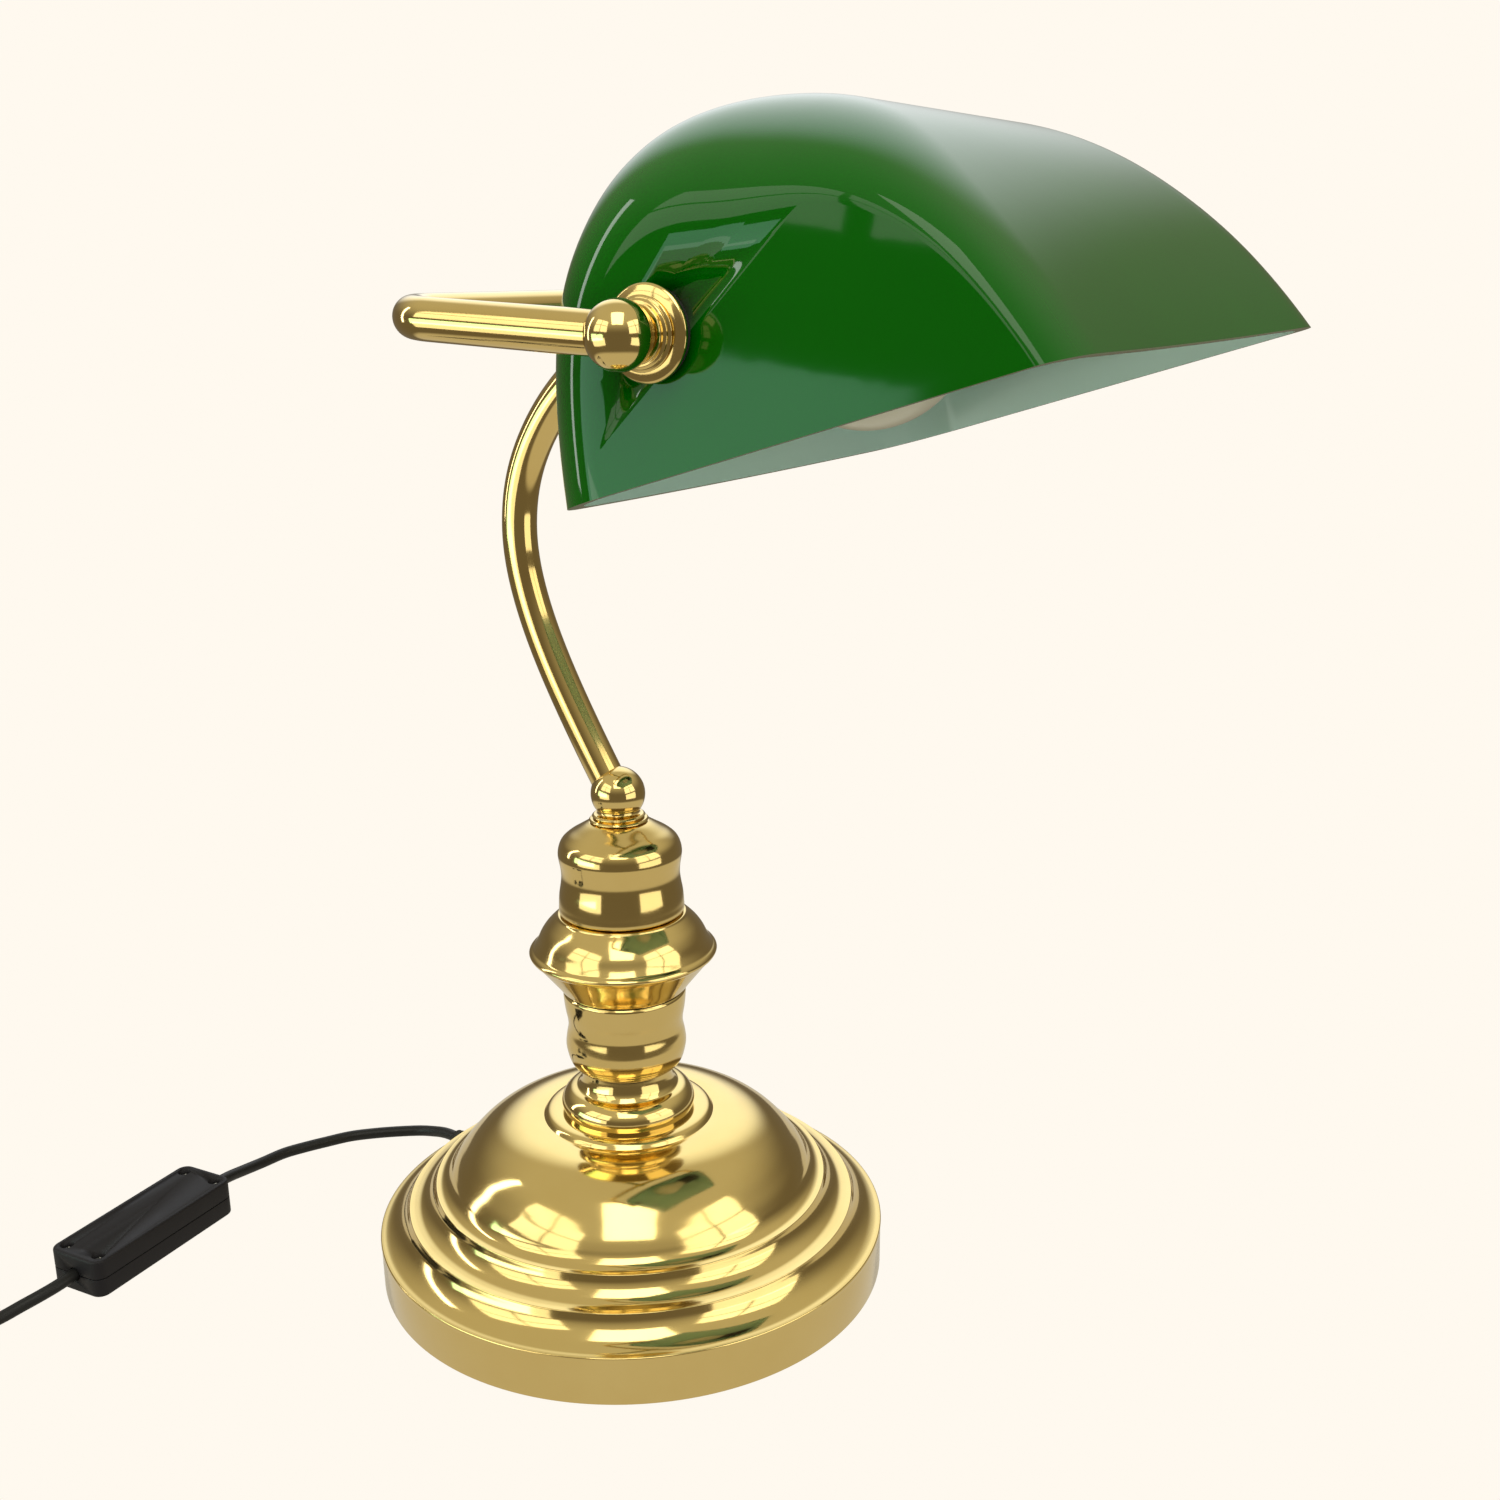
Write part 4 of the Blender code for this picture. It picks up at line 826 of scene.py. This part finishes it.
@dataclass
class Stand:
    """Base, column, arm and yoke, all lacquered brass; arm_route is the arm's control points as (Y, Z)."""

    bore: float = 5.6           # hole for the rod
    ball_radius: float = 10.1
    ball_height: float = 192.2  # of its middle
    arm_radius: float = 6.4
    yoke_radius: float = 5.9
    yoke_bend: float = 14.0     # radius of the bends at the crossbar's ends
    arm_route: tuple = ((0.0, 190.0), (22.2, 226.3), (39.4, 262.6), (42.3, 294.4), (31.6, 324.2), (8.0, 347.6),
                        (-22.8, 365.3))

    def build_base(self) -> None:
        """Build the spun shell: seat, neck roll, dome, three coves with an edge between each two, lip and band."""
        profile = outline(
            (self.bore, 80.6), (self.bore, 82.0), (16.6, 82.0), [(17.0, 79.8), (17.9, 77.0), (19.4, 75.0)],
            [(22.4, 74.0), (24.8, 71.6), (25.8, 68.6), (25.1, 65.7)], [(28.8, 65.5), (31.5, 64.7), (33.0, 63.0)],
            [(37.0, 62.9), (43.0, 62.1), (50.0, 59.9), (56.2, 56.5), (60.9, 52.7), (64.9, 48.4), (67.2, 45.6),
             (69.0, 42.9), (70.2, 40.9), (71.8, 39.2), (73.9, 38.1), (75.7, 37.72)], [(76.1, 37.68), (76.3, 37.2)],
            [(77.2, 34.8), (79.2, 32.2), (82.0, 30.3), (84.6, 29.6), (86.5, 29.32)], [(86.9, 29.28), (87.1, 28.8)],
            [(88.2, 26.2), (90.4, 23.4), (93.4, 21.2), (96.2, 20.0), (97.9, 19.6)],
            [(98.5, 19.4), (98.7, 18.8), (98.5, 17.6)], (98.4, 1.2), [(98.2, 0.7), (97.7, 0.5), (97.2, 0.5)],
            (97.2, 17.6), [(94.6, 18.7), (91.2, 20.7), (88.6, 23.2), (87.0, 25.6), (85.8, 27.9)],
            [(81.4, 29.0), (78.2, 31.2), (76.0, 34.0), (74.8, 36.3)],
            [(73.4, 36.9), (70.9, 38.2), (69.1, 40.1), (66.1, 44.8), (63.8, 47.6), (59.9, 51.7), (55.4, 55.4),
             (49.4, 58.7), (32.4, 61.4), (23.8, 64.0), (24.0, 70.4), (17.2, 74.0), (15.4, 80.6)])
        hole = rod(4.6, 88.0, 106.0, 48).moved(EXIT, axis_turn(EXIT_WAY))
        make_piece("spun_base", turned(profile, 192), (BRASS,), ("base_shell",), (hole,))

    def build_column(self) -> None:
        """Build the column's three turned castings, its neck and its ball."""
        bore = self.bore
        parts = {
            "column_lower": ((bore, 82.3), (15.4, 82.3),
                [(16.6, 82.5), (19.6, 83.9), (21.4, 86.0), (22.6, 89.6), (23.1, 93.0), (22.7, 96.6), (22.0, 100.4),
                 (22.1, 103.2), (22.8, 107.2), (23.25, 111.0), (23.35, 114.2), (22.9, 114.9)], (bore, 114.9)),
            "column_bell": ((bore, 115.2), (22.9, 115.2),
                [(23.8, 116.0), (25.4, 118.2), (28.4, 122.0), (31.8, 126.2), (34.2, 129.0)],
                [(35.2, 129.9), (35.6, 130.9), (35.0, 131.9), (34.0, 132.6)],
                [(32.4, 135.2), (30.9, 138.2), (29.1, 140.8), (26.8, 143.2), (24.6, 145.2)],
                [(24.2, 145.8), (23.2, 146.0)], (bore, 146.0)),
            "column_upper": ((bore, 146.3), (22.6, 146.3),
                [(23.5, 147.0), (23.55, 150.0), (23.25, 154.0), (22.6, 157.8), (22.25, 161.0), (22.45, 164.4),
                 (22.95, 167.4), (23.2, 169.6), (22.8, 172.2), (21.7, 174.6), (19.4, 176.7), (16.0, 178.8),
                 (12.6, 180.8), (11.0, 181.6)], (bore, 181.6)),
            "column_neck": ((bore, 181.9), (10.4, 181.9), [(11.1, 182.4), (10.6, 183.1)], (9.2, 183.4),
                [(9.9, 184.0), (9.2, 184.7)], [(8.0, 184.9), (7.4, 185.5), (7.3, 186.2)], (bore, 186.2)),
        }
        for name, curves in parts.items():
            make_piece(f"turned_{name}", turned(outline(*curves), 128), (BRASS,), (name,))
        seat = 186.5
        low = -math.degrees(math.asin((self.ball_height - seat) / self.ball_radius))
        socket = [(AXIS, 191.6), (3.4, 191.6), (3.4, 190.0), (5.3, 190.0), (5.3, seat)]
        profile = np.vstack([socket, ball_arc(self.ball_radius, self.ball_height, low)])
        make_piece("turned_column_ball", turned_solid(profile, 64), (BRASS,), ("column_ball",))

    def build_arm(self) -> None:
        """Build the bent arm along its B-spline and the boss where it meets the crossbar."""
        curve = bspline(self.arm_route, 420)
        path = np.stack([np.zeros(len(curve)), curve[:, 0], curve[:, 1]], axis=1)
        from_ball = np.linalg.norm(path - self.ball_height * UP, axis=1)
        from_crossbar = np.linalg.norm(path - CROSSBAR, axis=1)
        path = path[(from_ball > 5.0) & (from_crossbar > 6.4)]
        make_piece("bent_arm", swept(path, self.arm_radius, X_AXIS, 48), (BRASS_TUBE,), ("arm_tube",))
        inner = self.yoke_radius + 0.3
        boss = outline((inner, -11.0), (7.4, -11.0),
                       [(8.4, -9.8), (9.2, -6.0), (9.6, 0.0), (9.2, 6.0), (8.4, 9.8), (7.4, 11.0)], (inner, 11.0))
        make_piece("crossbar_boss", turned(boss, 64).moved(CROSSBAR, axis_turn(X_AXIS)), (BRASS,), ("yoke_boss",))

    def build_yoke(self) -> None:
        """Build the yoke tube: arm, quarter-circle bend, crossbar, bend, arm."""
        reach = np.linalg.norm(PIVOT - CROSSBAR)
        ahead = (PIVOT - CROSSBAR) / reach
        bend = self.yoke_bend
        straight = np.linspace(reach - 6.4, bend + 3.0, 12)[:, None]
        arm = CROSSBAR + KNOB_X * X_AXIS + straight * ahead
        a = np.linspace(0.0, QUARTER, 20)[:, None]
        corner = (CROSSBAR + (KNOB_X - bend) * X_AXIS + bend * ahead
                  + bend * (np.cos(a) * X_AXIS - np.sin(a) * ahead))
        bar = CROSSBAR + np.linspace(KNOB_X - bend - 4.0, 0.0, 24, endpoint=False)[:, None] * X_AXIS
        half = np.vstack([arm, corner, bar])
        path = np.vstack([half, CROSSBAR, half[::-1] * (-1.0, 1.0, 1.0)])
        make_piece("yoke_frame", swept(path, self.yoke_radius, np.cross(ahead, X_AXIS), 48), (BRASS_TUBE,),
                   ("yoke_tube",))

    def build_knob(self, side: Side) -> None:
        """Build one side's ball, ringed collar, flange and the washer against the glass."""
        bore, radius, low = 5.3, 9.1, -50.0
        flat = KNOB_X + radius * math.sin(math.radians(low))
        ball = np.vstack([[(AXIS, KNOB_X), (bore, KNOB_X), (bore, flat)], ball_arc(radius, KNOB_X, low)])
        collar = outline((bore, 116.3), (8.8, 116.3), [(9.7, 116.8), (8.9, 117.3)], (8.2, 117.4),
                         [(8.9, 117.8), (8.2, 118.3)], [(7.4, 118.5), (7.2, flat - 0.3)], (bore, flat - 0.3))
        flange = outline((bore, 113.4), (12.0, 113.4), [(12.6, 113.8), (12.6, 114.6), (12.2, 115.1)],
                         [(10.6, 115.7), (9.4, 116.0)], (bore, 116.0))
        washer = outline((bore, 111.8), (12.0, 111.8), (12.0, 113.1), (bore, 113.1))
        turn, label = side.turn(), side.name.lower()
        for name, node, shape, finish, body in (
                ("pivot_ball", "knob_ball", turned_solid(ball, 64), BRASS, Body.STAND),
                ("pivot_collar", "knob_collar", turned(collar, 64), BRASS, Body.STAND),
                ("pivot_flange", "knob_flange", turned(flange, 80), BRASS, Body.STAND),
                ("glass_washer", "outer_washer", turned(washer, 64), RUBBER, Body.SHADE)):
            make_piece(f"{name}_{label}", shape.moved(PIVOT, turn), (finish,), (f"{node}_{label}",), body=body)

    def build(self) -> None:
        """Build the whole stand."""
        self.build_base()
        self.build_column()
        self.build_arm()
        self.build_yoke()
        for side in Side:
            self.build_knob(side)


# ---- shade, lampholder and bulb ----


@dataclass
class GlassShade:
    """The long glass shade: a B-spline section whose ends draw in over a rounded stretch.

    Attributes:
        section: Control points (forward, up) of the outer section, from the back rim to the front rim.
        shrink: How far the end outline draws in at the back, top and front.
        reach: How far along X the rounding runs at the back, top and front.
    """

    length: float = 225.6
    depth: float = 158.7
    tilt: float = math.radians(16.24)
    back: tuple = (-60.0, 311.5)    # the back rim, as (Y, Z)
    wall: float = 4.0
    lean: float = 0.058         # how far the ends lean in for each millimetre of height
    bow: tuple = (-4.0, 9.4)    # how far the front and back rims bow at the middle
    section: tuple = ((0.0, 0.0), (5.0, 44.0), (22.0, 77.0), (47.5, 96.5), (77.0, 93.5), (108.0, 79.5), (131.0, 54.5),
                      (148.5, 25.0), (158.7, 0.0))
    shrink: tuple = (0.31, 0.373, 0.10)
    reach: tuple = (22.4, 59.0, 23.7)
    hole: float = 6.6           # radius of the pivot holes

    def skin(self, wall: float, share: np.ndarray, around: np.ndarray) -> np.ndarray:
        """Return one skin of the glass as a grid of stations by section points.

        Along the rounding the outline shrinks by shrink * (1 - sin turn) towards a centre on the rim plane, at
        reach * (1 - cos turn) from the end; between the roundings it runs straight. The ends lean in with
        height and the long edges bow.

        Args:
            wall: How far inside the outer skin, in millimetres.
            share: Where along the section each point is, 0 at the back rim and 1 at the front.
            around: Stations from the left end: 0 to 1 over the rounding, 1 to 2 up to the middle.

        Returns:
            Points of shape (stations, section points, 3) for the left half.
        """
        curve = bspline(self.section, len(share))
        half = 0.5 * self.length
        centre = 0.45 * self.depth
        edge = np.cos(math.pi * share) ** 2
        back = share < 0.5
        shrink = np.where(back, self.shrink[0], self.shrink[2]) * edge + self.shrink[1] * (1.0 - edge)
        reach = np.where(back, self.reach[0], self.reach[2]) * edge + self.reach[1] * (1.0 - edge)
        turn = np.clip(around, 0.0, 1.0)[:, None] * QUARTER
        blend = np.clip(around - 1.0, 0.0, 1.0)[:, None]
        du, dw = curve[:, 0] - centre, curve[:, 1]
        size = np.hypot(du, dw)
        scale = (1.0 - shrink * (1.0 - np.sin(turn))) * (size - wall) / size
        du, dw = du * scale, dw * scale
        distance = reach * (1.0 - np.cos(turn)) * (1.0 - blend) + half * blend
        inward = 1.0 - distance / half
        x = -half + wall * inward + distance + self.lean * dw * inward
        bulge = 1.0 - (x / half) ** 2
        forward = (centre + du + self.bow[0] * np.maximum(0.0, (share - 0.6) / 0.4) * bulge
                   - self.bow[1] * np.maximum(0.0, (0.3 - share) / 0.3) * bulge)
        cosine, sine = math.cos(self.tilt), math.sin(self.tilt)
        y = self.back[0] - forward * cosine + dw * sine
        z = self.back[1] + forward * sine + dw * cosine
        return np.stack([x, y, z], axis=-1)

    def build(self) -> None:
        """Build the glass: both skins, flat ends, the ground rim and the two pivot holes."""
        count = 97
        share = np.linspace(0.0, 1.0, count)
        around = np.r_[np.linspace(0.0, 1.0, 25), np.linspace(1.0, 2.0, 14)[1:]]
        skins = []
        for wall in (0.0, self.wall):
            left = self.skin(wall, share, around)
            skins.append(np.concatenate([left, left[-2::-1] * (-1.0, 1.0, 1.0)]))
        rows = len(skins[0])
        start = rows * count
        end = start - count
        first, last = list(range(count)), list(range(end, start))
        outside = grid_faces(rows, count) + [first[::-1], last]
        inside = [[corner + start for corner in face[::-1]] for face in outside]
        loop = np.r_[np.arange(rows) * count, np.arange(rows)[::-1] * count + count - 1]
        after = np.roll(loop, -1)
        rim = np.stack([loop, after, after + start, loop + start], axis=1).tolist()
        finish = np.repeat([0, 1, 0], [len(outside), len(inside), len(rim)])
        holes = tuple(rod(self.hole, 96.0, 120.0, 48).moved(PIVOT, side.turn()) for side in Side)
        glass = Surface(np.concatenate(skins).reshape(-1, 3), outside + inside + rim, finish)
        make_piece("cased_glass_shade", glass, (GREEN_CASING, SAGE_LINING), ("glass_shade",), holes, Body.SHADE)


@dataclass
class Lampholder:
    """Lampholder on the right-hand pivot tube, and the bulb in it; both turn about the pivot axis."""

    bulb_radius: float = 34.0
    bulb_centre: float = 6.0    # along the pivot axis, from the lamp's middle
    thread_pitch: float = 3.63

    @staticmethod
    def add(name: str, shape: Surface, finish: Finish, node: str, body: Body) -> None:
        """Add a piece drawn on the holder's own axis, turned onto the pivot axis."""
        make_piece(name, shape.moved(PIVOT, axis_turn(X_AXIS)), (finish,), (node,), body=body)

    def build(self) -> None:
        """Build the holder's cap and shell, the bulb's threaded cap and its glass."""
        cap = outline((5.3, 102.0), (5.3, 104.1), (15.0, 104.1),
                      [(18.6, 103.4), (21.2, 101.2), (22.3, 97.8), (22.4, 94.0), (22.4, 91.2)],
                      [(22.1, 90.6), (21.0, 90.6)], (21.0, 96.6), [(18.6, 100.4), (5.3, 102.0)])
        self.add("lampholder_cap", turned(cap, 96), PHENOLIC, "holder_cap", Body.SHADE)
        rings = []
        for ring in range(7):
            z = 62.0 + 3.6 * ring
            rings += [(20.2, z), (19.7, z + 0.5), (19.7, z + 1.1), (20.2, z + 1.6)]
        shell = [(15.6, 59.4), (15.6, 57.4), (16.0, 57.0), (19.4, 57.0), (20.0, 57.4), (20.2, 58.2), *rings,
                 (20.2, 96.0), (18.4, 96.0), (18.4, 59.4)]
        self.add("lampholder_shell", turned(shell, 96), PHENOLIC, "holder_shell", Body.SHADE)
        along = np.linspace(0.0, 17.0, 60)
        wave = 13.0 + 0.32 * np.cos(math.tau * along / self.thread_pitch)
        screw = np.vstack([[(AXIS, 60.0), (13.0, 60.0)], np.stack([wave, 62.0 + along], axis=1),
                           [(6.0, 83.2), (4.8, 84.4), (4.6, 85.7), (AXIS, 85.9)]])
        self.add("bulb_screw_cap", turned_solid(screw, 64), NICKEL, "bulb_cap", Body.BULB)
        a = np.radians(np.linspace(0.5, 118.0, 48))
        globe = np.stack([self.bulb_radius * np.sin(a), self.bulb_centre - self.bulb_radius * np.cos(a)], axis=1)
        neck = smooth([globe[-1], (26.0, 30.2), (21.3, 38.5), (17.6, 46.5), (15.2, 54.0), (14.2, 59.7)], 8)[1:]
        self.add("opal_bulb", turned_solid(np.vstack([globe, neck]), 96), OPAL, "bulb_glass", Body.BULB)


def dress_cad(nodes: dict) -> None:
    """Give each carried-over CAD node its finish."""
    for name, finish in CAD_FINISHES.items():
        node = nodes[name]
        node.data.materials.clear()
        node.data.materials.append(finish.material())
        LOG.info("%s: %s", name, finish.name)


def main() -> None:
    """Build the lamp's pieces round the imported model."""
    logging.basicConfig(level=logging.INFO, format="%(name)s: %(message)s")
    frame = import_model()
    studio = Studio()
    studio.add_camera()
    cord = Cord()
    switch_pieces = InlineSwitch().build()
    plug_pieces = Plug().build()
    on_switch = switch_pieces + [frame["nodes"][name] for name in ("switch_rocker", "rocker_pin", "switch_contacts")]
    cord.build(on_switch, plug_pieces + [cord.build_tie()])
    cord.build_relief()
    Stand().build()
    GlassShade().build()
    Lampholder().build()
    dress_cad(frame["nodes"])
    studio.add_world()
    studio.add_floor()
    studio.add_lights()


if __name__ == "__main__":
    main()
